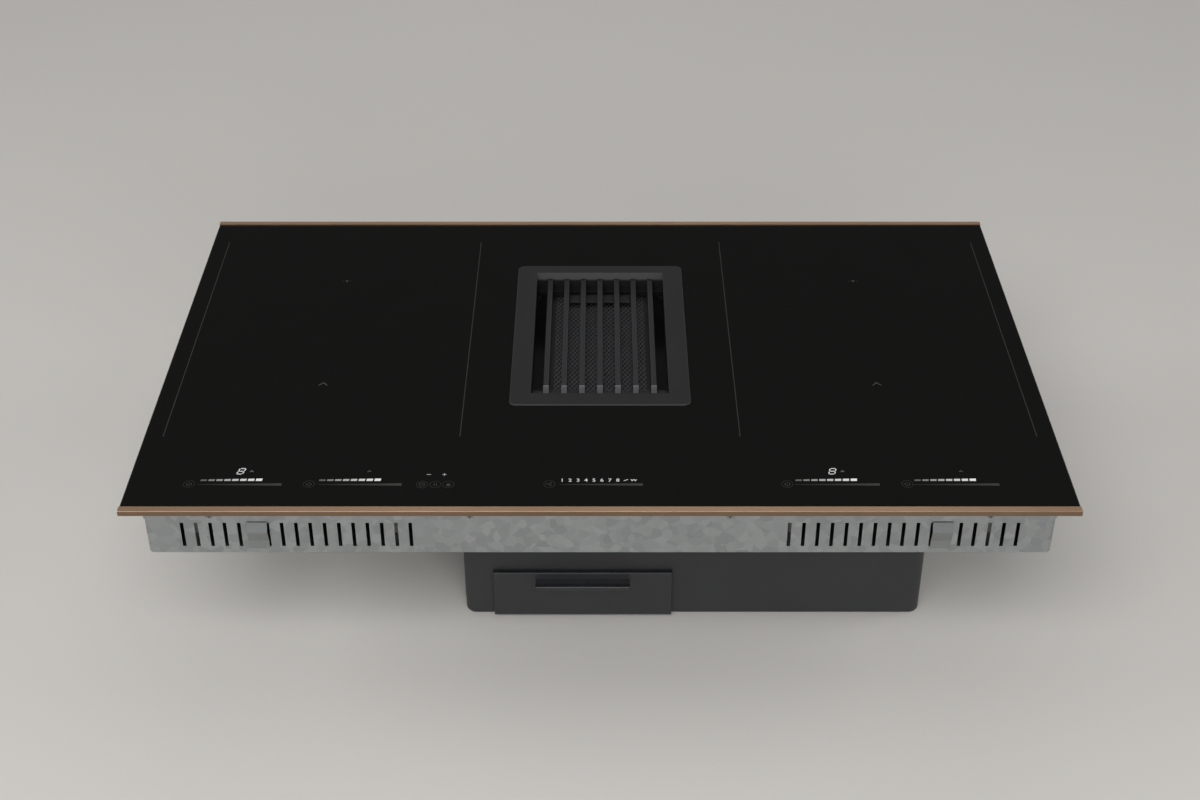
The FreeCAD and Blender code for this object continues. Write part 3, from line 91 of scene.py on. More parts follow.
def addNode(tree, kind, values=None, links=None, into=None, **settings):
    # values and links are keyed by input; into gives this node's output for other nodes' sockets
    node = tree.nodes.new("ShaderNode" + kind)
    for name, value in settings.items():
        setattr(node, name, value)
    for name, value in (values or {}).items():
        node.inputs[name].default_value = value
    for name, source in (links or {}).items():
        tree.links.new(source, node.inputs[name])
    for socket, name in (into or {}).items():
        tree.links.new(node.outputs[name], socket)
    return node


def startMaterial(name, colour, roughness, metallic=0.0, **more):
    # a Principled surface, and the model's own coordinates in metres
    material = bpy.data.materials.new(name)
    material.use_nodes = True
    tree = material.node_tree
    shader = tree.nodes["Principled BSDF"]
    shader.inputs["Base Color"].default_value = linear(colour)
    shader.inputs["Roughness"].default_value = roughness
    shader.inputs["Metallic"].default_value = metallic
    for socket, value in more.items():
        shader.inputs[socket.replace("_", " ")].default_value = value
    return material, tree, shader.inputs, addNode(tree, "TexCoord").outputs["Object"]


def makeObject(name, bm, material, body):
    mesh = bpy.data.meshes.new(name)
    bmesh.ops.recalc_face_normals(bm, faces=bm.faces)
    bm.to_mesh(mesh)
    bm.free()
    mesh.materials.append(material)
    piece = bpy.data.objects.new(name, mesh)
    bpy.context.scene.collection.objects.link(piece)
    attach(piece, body)
    return piece


# finishes

glassLook = {"colour": "#10110f", "wiped": "#131412", "roughness": 0.05}
# the trims' upright web gets painted shade; web is its share of the lip's colour
copperLook = {"light": "#d8b697", "dark": "#c5a285", "web": 0.42, "roughness": 0.50, "brushPitch": 0.35}
coatLook = {
    "colour": "#191919",
    "worn": "#1e1e1e",
    # painted highlight on the collar's upright walls above the bars' tops, and painted shade below them
    "upright": "#4d4d4d",
    "inside": "#131313",
    "roughness": 0.68,
    "grain": 0.9,  # millimetres, twice the real grain
}
enamelLook = {
    "colour": "#1d1d1e",
    # painted highlight along the bars' edges
    "worn": "#6a6a6a",
    # painted light on the bars' front end faces
    "ends": "#808083",
    # painted shade on the cross rails below the bars
    "rails": "#111111",
    "railHeight": 6.0,  # of the cross rails painted in shade, from the grille's underside
    "roughness": 0.50,
    "grain": 1.6,
}
spangleLook = {"dark": "#9b9fa1", "light": "#adb1b3", "size": 8.0}


def glassCeramic():
    # black glass ceramic, rolled and fire-polished: deep black body under a mirror-smooth skin
    material, tree, shader, place = startMaterial("glassCeramicPolished", glassLook["colour"],
                                                  glassLook["roughness"], IOR=1.52)
    haze = addNode(tree, "TexNoise", {"Scale": 1 / (60 * mm), "Detail": 3.0}, {"Vector": place})
    addNode(tree, "Mix", {6: linear(glassLook["colour"]), 7: linear(glassLook["wiped"])},
            {0: haze.outputs["Fac"]}, {shader["Base Color"]: 2}, data_type="RGBA")
    addNode(tree, "MapRange", {"To Min": 0.03, "To Max": 0.08}, {"Value": haze.outputs["Fac"]},
            {shader["Roughness"]: "Result"})
    return material


def copperAnodised():
    # extruded aluminium, brushed lengthways and anodised in copper: satin, with fine lines along the edge
    material, tree, shader, place = startMaterial("aluminiumAnodisedCopper", copperLook["light"],
                                                  copperLook["roughness"], 1.0)
    lines = addNode(tree, "Mapping", {"Scale": (0.012, 1.0, 1.0)}, {"Vector": place})
    brush = addNode(tree, "TexNoise", {"Scale": 1 / (copperLook["brushPitch"] * mm), "Detail": 3.0},
                    {"Vector": lines.outputs[0]})
    drift = addNode(tree, "TexNoise", {"Scale": 1 / (220 * mm), "Detail": 1.0}, {"Vector": place})
    both = addNode(tree, "Math", {}, {0: brush.outputs["Fac"], 1: drift.outputs["Fac"]},
                   operation="MULTIPLY")
    tone = addNode(tree, "MapRange", {"From Min": 0.12, "From Max": 0.40}, {"Value": both.outputs[0]})
    lip = addNode(tree, "Mix", {6: linear(copperLook["dark"]), 7: linear(copperLook["light"])},
                  {0: tone.outputs[0]}, data_type="RGBA")
    # painted shade: faces are drawn darker the further they turn from facing up, so the upright web is
    # darker than the lip on the glass
    facing = addNode(tree, "SeparateXYZ", {}, {0: addNode(tree, "NewGeometry").outputs["Normal"]})
    share = addNode(tree, "MapRange", {"To Min": copperLook["web"], "To Max": 1.0},
                    {"Value": facing.outputs["Z"]})
    addNode(tree, "VectorMath", {}, {0: lip.outputs[2], "Scale": share.outputs[0]},
            {shader["Base Color"]: 0}, operation="SCALE")
    least, most = copperLook["roughness"] - 0.07, copperLook["roughness"] + 0.07
    addNode(tree, "MapRange", {"To Min": least, "To Max": most}, {"Value": brush.outputs["Fac"]},
            {shader["Roughness"]: "Result"})
    addNode(tree, "Bump", {"Strength": 0.6, "Distance": 0.012 * mm}, {"Height": brush.outputs["Fac"]},
            {shader["Normal"]: "Normal"})
    return material


def powderCoat():
    # steel with a matt powder coat: even charcoal with a dry pebble, drawn at twice its real grain
    # to show
    material, tree, shader, place = startMaterial("steelPowderCoatedMatt", coatLook["colour"],
                                                  coatLook["roughness"])
    pebble = addNode(tree, "TexNoise", {"Scale": 1 / (coatLook["grain"] * mm), "Detail": 2.0},
                     {"Vector": place})
    cloud = addNode(tree, "TexNoise", {"Scale": 1 / (45 * mm), "Detail": 2.0}, {"Vector": place})
    flat = addNode(tree, "Mix", {6: linear(coatLook["colour"]), 7: linear(coatLook["worn"])},
                   {0: cloud.outputs["Fac"]}, data_type="RGBA")
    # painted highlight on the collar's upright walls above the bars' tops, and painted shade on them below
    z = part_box("vent_grille")[1][2]
    depth = addNode(tree, "MapRange", {"From Min": z - 3 * mm, "From Max": z - 0.5 * mm},
                    {"Value": addNode(tree, "SeparateXYZ", {}, {0: place}).outputs["Z"]})
    wall = addNode(tree, "Mix", {6: linear(coatLook["inside"]), 7: linear(coatLook["upright"])},
                   {0: depth.outputs[0]}, data_type="RGBA")
    facing = addNode(tree, "SeparateXYZ", {}, {0: addNode(tree, "NewGeometry").outputs["Normal"]})
    addNode(tree, "Mix", {}, {0: facing.outputs["Z"], 6: wall.outputs[2], 7: flat.outputs[2]},
            {shader["Base Color"]: 2}, data_type="RGBA")
    addNode(tree, "Bump", {"Strength": 0.5, "Distance": 0.03 * mm}, {"Height": pebble.outputs["Fac"]},
            {shader["Normal"]: "Normal"})
    return material


def castEnamel():
    # cast bars under matt enamel: softly uneven skin, with a painted highlight along the edges
    material, tree, shader, place = startMaterial("castEnamelMatt", enamelLook["colour"],
                                                  enamelLook["roughness"])
    skin = addNode(tree, "TexNoise", {"Scale": 1 / (enamelLook["grain"] * mm), "Detail": 3.0},
                   {"Vector": place})
    # painted highlight along the bars' edges, where the rounded normal leaves the flat one
    bevel = addNode(tree, "Bevel", {"Radius": 0.7 * mm}, samples=6)
    flat = addNode(tree, "NewGeometry").outputs["Normal"]
    turned = addNode(tree, "VectorMath", {}, {0: bevel.outputs[0], 1: flat}, operation="DOT_PRODUCT")
    edge = addNode(tree, "MapRange", {"From Min": 0.999, "From Max": 0.93},
                   {"Value": turned.outputs["Value"]})
    bars = addNode(tree, "Mix", {6: linear(enamelLook["colour"]), 7: linear(enamelLook["worn"])},
                   {0: edge.outputs[0]}, data_type="RGBA")
    # painted light on the bars' front ends, the faces turned towards the front
    facing = addNode(tree, "SeparateXYZ", {}, {0: flat})
    ground = addNode(tree, "MapRange", {"From Min": -0.5, "From Max": -0.9},
                     {"Value": facing.outputs["Y"]})
    ends = addNode(tree, "Mix", {7: linear(enamelLook["ends"])},
                   {0: ground.outputs[0], 6: bars.outputs[2]}, data_type="RGBA")
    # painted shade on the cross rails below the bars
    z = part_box("vent_grille")[0][2] + enamelLook["railHeight"] * mm
    height = addNode(tree, "MapRange", {"From Min": z - 0.1 * mm, "From Max": z + 0.3 * mm},
                     {"Value": addNode(tree, "SeparateXYZ", {}, {0: place}).outputs["Z"]})
    addNode(tree, "Mix", {6: linear(enamelLook["rails"])}, {0: height.outputs[0], 7: ends.outputs[2]},
            {shader["Base Color"]: 2}, data_type="RGBA")
    addNode(tree, "Bump", {"Strength": 0.4, "Distance": 0.05 * mm}, {"Height": skin.outputs["Fac"]},
            {shader["Normal"]: "Normal"})
    return material


def galvanised():
    # hot-dip galvanised sheet: zinc crystals of about 8 mm, each with its own grey and gloss
    material, tree, shader, place = startMaterial("steelGalvanised", spangleLook["light"], 0.4, 1.0)
    warp = addNode(tree, "TexNoise", {"Scale": 1 / (6 * mm), "Detail": 2.0}, {"Vector": place})
    bent = addNode(tree, "VectorMath", {1: (3 * mm, 3 * mm, 3 * mm)},
                   {0: warp.outputs["Color"], 2: place}, operation="MULTIPLY_ADD")
    crystal = addNode(tree, "TexVoronoi", {"Scale": 1 / (spangleLook["size"] * mm)},
                      {"Vector": bent.outputs[0]})
    grey = addNode(tree, "SeparateColor", {}, {0: crystal.outputs["Color"]})
    addNode(tree, "Mix", {6: linear(spangleLook["dark"]), 7: linear(spangleLook["light"])},
            {0: grey.outputs[0]}, {shader["Base Color"]: 2}, data_type="RGBA")
    addNode(tree, "MapRange", {"To Min": 0.30, "To Max": 0.52}, {"Value": grey.outputs[1]},
            {shader["Roughness"]: "Result"})
    return material


def grainedMetal(name, colour, other, roughness, stretch, pitch):
    # tone and relief run in lines along the way the metal was worked; pitch in millimetres
    material, tree, shader, place = startMaterial(name, colour, roughness, 1.0)
    lines = addNode(tree, "Mapping", {"Scale": stretch}, {"Vector": place})
    grain = addNode(tree, "TexNoise", {"Scale": 1 / (pitch * mm), "Detail": 3.0},
                    {"Vector": lines.outputs[0]})
    addNode(tree, "Mix", {6: linear(colour), 7: linear(other)}, {0: grain.outputs["Fac"]},
            {shader["Base Color"]: 2}, data_type="RGBA")
    addNode(tree, "Bump", {"Strength": 0.5, "Distance": 0.015 * mm}, {"Height": grain.outputs["Fac"]},
            {shader["Normal"]: "Normal"})
    return material


def turnedSteel(axis):
    # motor rings turned on a lathe: tool marks round the motor's axis, drawn 5 mm apart to show
    material, tree, shader, place = startMaterial("steelTurned", "#a9abad", 0.32, 1.0)
    centred = addNode(tree, "VectorMath", {1: (-axis[0], -axis[1], 0.0)}, {0: place}, operation="ADD")
    rings = addNode(tree, "TexWave", {"Scale": 1 / (16 * mm), "Distortion": 0.4},
                    {"Vector": centred.outputs[0]}, wave_type="RINGS", rings_direction="Z")
    addNode(tree, "Mix", {6: linear("#97999c"), 7: linear("#b7b9ba")}, {0: rings.outputs["Fac"]},
            {shader["Base Color"]: 2}, data_type="RGBA")
    addNode(tree, "Bump", {"Strength": 0.4, "Distance": 0.01 * mm}, {"Height": rings.outputs["Fac"]},
            {shader["Normal"]: "Normal"})
    return material


def mouldedPlastic(name, colour, other, roughness, grain, depth, **more):
    # grain and depth in millimetres, from the mould's own texture
    material, tree, shader, place = startMaterial(name, colour, roughness, **more)
    texture = addNode(tree, "TexNoise", {"Scale": 1 / (grain * mm), "Detail": 2.0}, {"Vector": place})
    flow = addNode(tree, "TexNoise", {"Scale": 1 / (70 * mm), "Detail": 2.0}, {"Vector": place})
    addNode(tree, "Mix", {6: linear(colour), 7: linear(other)}, {0: flow.outputs["Fac"]},
            {shader["Base Color"]: 2}, data_type="RGBA")
    addNode(tree, "MapRange", {"To Min": roughness - 0.06, "To Max": roughness + 0.06},
            {"Value": texture.outputs["Fac"]}, {shader["Roughness"]: "Result"})
    addNode(tree, "Bump", {"Strength": 0.5, "Distance": depth * mm}, {"Height": texture.outputs["Fac"]},
            {shader["Normal"]: "Normal"})
    return material


def flakedSheet(name, colour, other, size, roughness, depth):
    # pressed or fired from grains: a mosaic of close tones; size and depth in millimetres
    material, tree, shader, place = startMaterial(name, colour, roughness)
    flakes = addNode(tree, "TexVoronoi", {"Scale": 1 / (size * mm)}, {"Vector": place})
    tone = addNode(tree, "SeparateColor", {}, {0: flakes.outputs["Color"]})
    addNode(tree, "Mix", {6: linear(colour), 7: linear(other)}, {0: tone.outputs[0]},
            {shader["Base Color"]: 2}, data_type="RGBA")
    addNode(tree, "Bump", {"Strength": 0.5, "Distance": depth * mm},
            {"Height": flakes.outputs["Distance"]}, {shader["Normal"]: "Normal"})
    return material


def litzCopper():
    # bundles of enamelled copper strands twisted together: coppery, with the slanting lay drawn at
    # about 20 mm to show
    material, tree, shader, place = startMaterial("copperLitzEnamelled", "#b0663c", 0.36, 1.0,
                                                  Coat_Weight=0.4)
    lay = addNode(tree, "TexWave", {"Scale": 1 / (48 * mm), "Distortion": 2.5, "Detail": 1.0,
                                    "Detail Scale": 1.5}, {"Vector": place}, bands_direction="DIAGONAL")
    strands = addNode(tree, "TexNoise", {"Scale": 1 / (0.5 * mm), "Detail": 2.0}, {"Vector": place})
    addNode(tree, "Mix", {6: linear("#8a4a28"), 7: linear("#c67a4b")}, {0: lay.outputs["Fac"]},
            {shader["Base Color"]: 2}, data_type="RGBA")
    height = addNode(tree, "Math", {1: 0.35}, {0: strands.outputs["Fac"], 2: lay.outputs["Fac"]},
                     operation="MULTIPLY_ADD")
    addNode(tree, "Bump", {"Strength": 0.8, "Distance": 0.25 * mm}, {"Height": height.outputs[0]},
            {shader["Normal"]: "Normal"})
    return material


def circuitBoard():
    # glass-fibre board under green solder mask: lighter where copper runs lie below the gloss
    material, tree, shader, place = startMaterial("fibreglassSolderMask", "#1d5636", 0.28,
                                                  Coat_Weight=0.3)
    pattern = {"Scale": 1 / (40 * mm), "Mortar Size": 0.018, "Brick Width": 0.5, "Row Height": 0.12,
               "Color1": linear("#1a4e31"), "Color2": linear("#205c3b"), "Mortar": linear("#357a52")}
    runs = addNode(tree, "TexBrick", pattern, {"Vector": place}, {shader["Base Color"]: "Color"},
                   offset=0.37)
    addNode(tree, "Bump", {"Strength": 0.4, "Distance": 0.03 * mm}, {"Height": runs.outputs["Fac"]},
            {shader["Normal"]: "Normal"})
    return material


def expandedBacking():
    # second layer of the filter's mesh, seen through the first: near black, with faint slanting
    # bands 25 mm apart
    material, tree, shader, place = startMaterial("aluminiumMeshBacking", "#0d0d0d", 0.6)
    slant = addNode(tree, "Mapping", {"Rotation": (0.0, 0.0, math.radians(-31))}, {"Vector": place})
    strands = addNode(tree, "TexWave", {"Scale": 1 / (78 * mm)}, {"Vector": slant.outputs[0]},
                      bands_direction="X")
    addNode(tree, "Mix", {6: linear("#060606"), 7: linear("#161616")}, {0: strands.outputs["Fac"]},
            {shader["Base Color"]: 2}, data_type="RGBA")
    return material


def meshStrand():
    # slit and stretched aluminium, anodised dark: thin satin ribs with brighter cut edges
    material, tree, shader, place = startMaterial("aluminiumExpandedDark", "#77777a", 0.42, 0.6)
    cut = addNode(tree, "TexNoise", {"Scale": 1 / (2.0 * mm), "Detail": 3.0}, {"Vector": place})
    addNode(tree, "Mix", {6: linear("#38383a"), 7: linear("#84848a")}, {0: cut.outputs["Fac"]},
            {shader["Base Color"]: 2}, data_type="RGBA")
    addNode(tree, "Bump", {"Strength": 0.6, "Distance": 0.05 * mm}, {"Height": cut.outputs["Fac"]},
            {shader["Normal"]: "Normal"})
    return material


def glassInk(name, dark, light, shine):
    # enamel fired into the glass, or light behind it; each mark's own strength is in its mesh
    material, tree, shader, place = startMaterial(name, light, 0.08, IOR=1.52)
    level = addNode(tree, "Attribute", attribute_name="glow").outputs["Fac"]
    screen = addNode(tree, "TexNoise", {"Scale": 1 / (0.6 * mm), "Detail": 1.0}, {"Vector": place})
    dots = addNode(tree, "MapRange", {"To Min": 0.9, "To Max": 1.05}, {"Value": screen.outputs["Fac"]})
    grainy = addNode(tree, "Math", {}, {0: level, 1: dots.outputs[0]}, operation="MULTIPLY")
    tone = addNode(tree, "Mix", {6: linear(dark), 7: linear(light)}, {0: grainy.outputs[0]},
                   {shader["Base Color"]: 2}, data_type="RGBA")
    if shine:
        tree.links.new(tone.outputs[2], shader["Emission Color"])
        shader["Emission Strength"].default_value = shine
    return material


motorAxis = [(low + high) / 2 for low, high in zip(*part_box("motor_rotor"))]
glass = glassCeramic()
copper = copperAnodised()
coat = powderCoat()
enamel = castEnamel()
zincSheet = galvanised()
turned = turnedSteel(motorAxis)
# screws and springs, electroplated with zinc: cool grey with a soft, slightly blotched sheen
zincPlate = grainedMetal("steelZincPlated", "#8d9193", "#a0a3a3", 0.45, (1.0, 1.0, 1.0), 1.5)
# aluminium rolled to sheet: long faint lines along the sheet
rolledAluminium = grainedMetal("aluminiumRolled", "#a5a7a9", "#bcbebf", 0.34, (0.02, 1.0, 1.0), 0.8)
# aluminium pushed through a die: lines along the fins
extrudedAluminium = grainedMetal("aluminiumExtruded", "#9c9ea0", "#b2b4b5", 0.38, (1.0, 0.02, 1.0), 0.6)
litz = litzCopper()
board = circuitBoard()
backing = expandedBacking()
strand = meshStrand()
# closed-cell foam: matt black with open pores on the cut faces
foam = flakedSheet("foamEpdmCut", "#161616", "#222222", 0.5, 0.95, 0.2)
# mica flakes pressed with resin: silvery tan mosaic with a slight sheen
mica = flakedSheet("micaPressed", "#a3967a", "#c0b597", 1.8, 0.45, 0.02)
# fired alumina: chalk white, faintly grainy
alumina = flakedSheet("aluminaFired", "#dcdad2", "#e6e4dd", 0.4, 0.6, 0.01)
# sintered ferrite: charcoal, dull and finely pitted
ferrite = flakedSheet("ferriteSintered", "#26272a", "#313236", 0.6, 0.62, 0.03)
# silicone rubber, moulded: soft-edged dark grey without shine
silicone = mouldedPlastic("siliconeMoulded", "#262626", "#2e2e2e", 0.62, 0.8, 0.02)
# sheet steel under dark stoved paint: smooth, low sheen
stovedSteel = mouldedPlastic("steelStovedDark", "#171718", "#1e1e1f", 0.55, 0.7, 0.012)
# ABS, moulded in a lightly spark-eroded tool: black with a dry sheen
absBlack = mouldedPlastic("absMouldedBlack", "#1c1d1e", "#232425", 0.48, 0.6, 0.02)
# PPS, moulded: pale heat-proof grey
pps = mouldedPlastic("ppsMouldedPale", "#bdbbb3", "#c9c7bf", 0.45, 0.9, 0.015)
# epoxy and film cases of the board's parts: black with some gloss
epoxy = mouldedPlastic("epoxyMouldedBlack", "#1d1e21", "#2a2b2f", 0.35, 0.5, 0.01)
# glass-filled polyamide of the fan wheels: matt black with short pale fibres at the skin
fanNylon = mouldedPlastic("polyamideGlassFilled", "#191a1b", "#242526", 0.55, 0.35, 0.02)
# natural polyamide of the terminal block: ivory, waxy
ivoryNylon = mouldedPlastic("polyamideNatural", "#b5b09f", "#c2bdac", 0.40, 0.8, 0.015)
# polyamide gland: charcoal with a soft shine
glandNylon = mouldedPlastic("polyamideCharcoal", "#2b2b2c", "#323233", 0.42, 0.7, 0.02)
# polypropylene housing from a grained tool: dark grey leathery grain of about 0.9 mm
housing = mouldedPlastic("polypropyleneGrained", "#2a2b2d", "#313234", 0.50, 0.9, 0.06)
# polypropylene tank from a polished tool: same grey, glossier
tank = mouldedPlastic("polypropyleneGlossy", "#26272a", "#2d2e31", 0.24, 2.5, 0.01, Coat_Weight=0.2)
ink = glassInk("enamelInkGrey", "#1a1b19", "#8c8d8a", 0.0)
lit = glassInk("lightThroughGlass", "#141512", "#f2f4f4", 1.0)
print("finishes made")

finishes = {
    glass: ["glass_top"],
    copper: ["front_trim", "rear_trim"],
    foam: ["worktop_gasket", "vent_frame_gasket"],
    coat: ["vent_frame"],
    enamel: ["vent_grille"],
    silicone: ["grille_feet", "touch_springs", "tank_seal", "shield_posts"],
    stovedSteel: ["filter_frame", "filter_handle"],
    backing: ["filter_mesh"],
    absBlack: ["intake_shaft", "blower_scroll", "scroll_cover", "inlet_ring", "outlet_spigot",
               "outlet_flap_upper", "outlet_flap_lower"],
    zincSheet: ["support_frame", "casing_floor", "casing_walls", "terminal_cover"],
    zincPlate: ["casing_screws", "housing_screws", "side_springs"],
    litz: ["coil_winding_left_front", "coil_winding_left_rear", "coil_winding_right_front",
           "coil_winding_right_rear"],
    pps: ["coil_carriers", "touch_board_carrier"],
    mica: ["mica_sheets"],
    alumina: ["zone_sensors"],
    ferrite: ["ferrite_bars"],
    rolledAluminium: ["coil_shields"],
    extrudedAluminium: ["heatsink_left", "heatsink_right"],
    board: ["inverter_board_left", "inverter_board_right", "mains_filter_board", "touch_board"],
    epoxy: ["inverter_parts_left", "inverter_parts_right", "mains_filter_parts", "display_modules"],
    fanNylon: ["cooling_blower_case_left", "cooling_blower_case_right", "cooling_blower_wheel_left",
               "cooling_blower_wheel_right", "impeller"],
    ivoryNylon: ["terminal_block"],
    glandNylon: ["cable_gland"],
    housing: ["lower_housing_lid", "lower_housing_tub"],
    turned: ["motor_rotor", "motor_stator"],
    tank: ["overflow_tank"],
}
for material, names in finishes.items():
    for name in names:
        for slot in nodes[name].material_slots:
            slot.material = material
print("finishes put on", sum(len(names) for names in finishes.values()), "nodes")


# marks on the glass

marks = {
    "thickness": 0.03,
    "zoneLine": 0.8,
    "zoneGlow": 0.15,
    "zoneX": (127.5, 397.7),
    "zoneY": (-145.5, 213.6),
    "rearZone": (262.3, 131.5),
    "frontZone": (262.7, -59.9),
    "keyX": (-360.7, -255.4, 164.4, 269.7),
    "fanKeyX": -44.4,
    "keyY": -217.1,
    "clockX": -156.2,
    "pauseX": -144.4,
    "lockX": -133.0,
    "timerY": -217.8,
    "keyRadius": 4.9,
    "ringWidth": 0.4,
    "ringGlow": 0.13,
    "signGlow": 0.19,
    "sliders": ((-352.7, -279.4), (-247.3, -174.1), (-36.0, 37.6), (170.9, 245.5), (275.3, 350.3)),
    "sliderY": -217.8,
    "sliderSteps": 12,
    "digitX": (-317.8, 205.9),
    "digitY": -198.4,
    "digitGlow": 0.45,
    # x, width and strength
    "chevrons": ((-308.5, 0.6, 0.12), (214.8, 0.6, 0.12), (-204.3, 0.5, 0.07), (319.8, 0.5, 0.07)),
    "minusX": -151.2,
    "plusX": -137.5,
    "plusY": -203.2,
    "plusGlow": 0.25,
}
lightBar = {
    "starts": (-351.6, -247.2, 171.9, 276.6),
    "y": -210.6,
    "count": 8,
    "pitch": 6.95,
    "foot": 5.5,  # length along the bar's lower edge
    "head": 5.8,  # where its upper edge ends
    "lean": 0.3,
    "least": 2.0,  # height of the lowest bar
    "growth": 1.5 / 54.0,  # of the height, for each millimetre along the row
    "glow": (0.07, 0.42),  # strength of the first bar, and what the last has more
}
numberRow = {
    "x": -33.3,
    "y": -211.3,
    "count": 8,
    "pitch": 7.0,
    "height": 4.4,
    "capShare": 0.72,  # a capital's share of the font's size
    "bold": 0.08,
    "glow": 0.40,
}
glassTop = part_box("glass_top")[1][2]


def newMarks():
    bm = bmesh.new()
    return bm, bm.verts.layers.float.new("glow")


def addPlate(marking, outline, glows):
    # a thin plate on the glass; outline in millimetres, one strength for each corner
    bm, layer = marking
    levels = []
    for z in (glassTop, glassTop + marks["thickness"] * mm):
        corners = []
        for (x, y), glow in zip(outline, glows):
            corner = bm.verts.new((x * mm, y * mm, z))
            corner[layer] = glow
            corners.append(corner)
        levels.append(corners)
    bm.faces.new(levels[0][::-1])
    bm.faces.new(levels[1])
    count = len(outline)
    for i in range(count):
        j = (i + 1) % count
        bm.faces.new((levels[0][i], levels[0][j], levels[1][j], levels[1][i]))


def addStroke(marking, points, width, glow):
    # a line of even width through the points
    closed = points[0] == points[-1]
    sides = []
    for i, point in enumerate(points):
        before = points[i - 1] if i else (points[-2] if closed else point)
        after = points[i + 1] if i + 1 < len(points) else (points[1] if closed else point)
        a = (Vector(point) - Vector(before)).to_2d()
        b = (Vector(after) - Vector(point)).to_2d()
        a = a.normalized() if a.length else b.normalized()
        b = b.normalized() if b.length else a
        along = (a + b).normalized()
        across = Vector((-along.y, along.x)) * (width / 2 / max(0.35, along.dot(a)))
        sides.append((Vector(point) + across, Vector(point) - across))
    for (leftA, rightA), (leftB, rightB) in zip(sides, sides[1:]):
        addPlate(marking, (leftA, rightA, rightB, leftB), (glow,) * 4)


def arc(x, y, radius, start, end, steps=32):
    turn = [math.radians(start + (end - start) * i / steps) for i in range(steps)]
    points = [(x + radius * math.cos(a), y + radius * math.sin(a)) for a in turn]
    last = math.radians(end)
    closing = (x + radius * math.cos(last), y + radius * math.sin(last))
    points.append(points[0] if end - start == 360 else closing)
    return points


def addChevron(marking, x, y, half, rise, width, glow):
    addStroke(marking, [(x - half, y - rise), (x, y + rise), (x + half, y - rise)], width, glow)


def printZones(marking):
    y0, y1 = marks["zoneY"]
    for side in (-1, 1):
        for x in marks["zoneX"]:
            addStroke(marking, [(side * x, y0), (side * x, y1)], marks["zoneLine"], marks["zoneGlow"])
        x, y = marks["rearZone"]  # a dot between two dashes
        x *= side
        addStroke(marking, arc(x, y, 0.9, 0, 360, 12), 0.9, 0.30)
        for dash in (-4.6, 3.0):
            addStroke(marking, [(x + dash, y), (x + dash + 1.6, y)], 0.6, 0.2)
        x, y = marks["frontZone"]
        addChevron(marking, side * x, y, 4.2, 2.4, 0.9, 0.32)


def addRing(marking, x, y):
    addStroke(marking, arc(x, y, marks["keyRadius"], 0, 360), marks["ringWidth"], marks["ringGlow"])


def printKeys(marking):
    y, glow = marks["keyY"], marks["signGlow"]
    for x in marks["keyX"]:  # power
        addRing(marking, x, y)
        addStroke(marking, arc(x, y - 0.2, 2.1, 130, 410, 20), 0.6, glow)
        addStroke(marking, [(x, y + 0.4), (x, y + 2.5)], 0.6, glow)
    x = marks["fanKeyX"]
    addRing(marking, x, y)
    for turn in (90, 210, 330):  # three blades of a fan
        dx, dy = math.cos(math.radians(turn)), math.sin(math.radians(turn))
        addStroke(marking, arc(x + 1.5 * dx, y + 1.5 * dy, 1.5, turn - 180, turn - 20, 10), 0.6, glow)
    x, y = marks["clockX"], marks["timerY"]
    addRing(marking, x, y)
    addStroke(marking, arc(x, y, 2.5, 0, 360, 20), 0.5, glow)
    addStroke(marking, [(x, y + 1.6), (x, y), (x + 1.2, y)], 0.5, glow)
    x = marks["pauseX"]
    addRing(marking, x, y)
    for dx in (-1.0, 1.0):
        addStroke(marking, [(x + dx, y - 2.0), (x + dx, y + 2.0)], 0.6, glow)
    x = marks["lockX"]
    addRing(marking, x, y)
    body = [(x - 1.8, y - 2.2), (x + 1.8, y - 2.2), (x + 1.8, y + 0.4), (x - 1.8, y + 0.4)]
    addPlate(marking, body, (glow,) * 4)
    addStroke(marking, arc(x, y + 0.4, 1.2, 0, 180, 10), 0.5, glow)


def printSliders(marking):
    y, steps = marks["sliderY"], marks["sliderSteps"]
    for x0, x1 in marks["sliders"]:
        for i in range(steps):  # each wedge grows from 1.0 to 3.4 mm and from dark to grey
            a, b = i / steps, (i + 1) / steps
            xa, xb = x0 + (x1 - x0) * a, x0 + (x1 - x0) * b
            ha, hb = 0.5 + 1.2 * a, 0.5 + 1.2 * b
            ga, gb = 0.05 + 0.15 * a, 0.05 + 0.15 * b
            wedge = [(xa, y - ha), (xb, y - hb), (xb, y + hb), (xa, y + ha)]
            addPlate(marking, wedge, (ga, gb, gb, ga))


def lightBars(marking):
    bar = lightBar
    low = bar["y"] - bar["least"]
    for start in bar["starts"]:
        for i in range(bar["count"]):
            share = i / (bar["count"] - 1)
            run = bar["pitch"] * i
            tops = [bar["y"] + bar["growth"] * x for x in (run, run + bar["head"])]
            x0 = start + run
            outline = [(x0, low), (x0 + bar["foot"], low), (x0 + bar["head"], tops[1]),
                       (x0 + bar["lean"], tops[0])]
            addPlate(marking, outline, (bar["glow"][0] + bar["glow"][1] * share,) * 4)


def lightDigit(marking, x, y):
    # seven segments of a lit 8, 6.2 x 9.2 mm, leaning by 14 degrees
    half, tall, lean, gap, stroke = 2.6, 4.1, math.tan(math.radians(14)), 0.35, 0.5
    ends = [((-half, at), (half, at)) for at in (0, tall, -tall)]
    ends += [((s * half, at), (s * half, at + tall)) for at in (0, -tall) for s in (-1, 1)]
    for (xa, ya), (xb, yb) in ends:
        along = Vector((xb - xa, yb - ya)).normalized()
        a, b = Vector((xa, ya)) + along * gap, Vector((xb, yb)) - along * gap
        side = Vector((-along.y, along.x)) * stroke
        nearA, nearB = a + along * stroke, b - along * stroke
        hexagon = [a, nearA + side, nearB + side, b, nearB - side, nearA - side]
        outline = [(x + p.x + p.y * lean, y + p.y) for p in hexagon]
        addPlate(marking, outline, (marks["digitGlow"],) * 6)


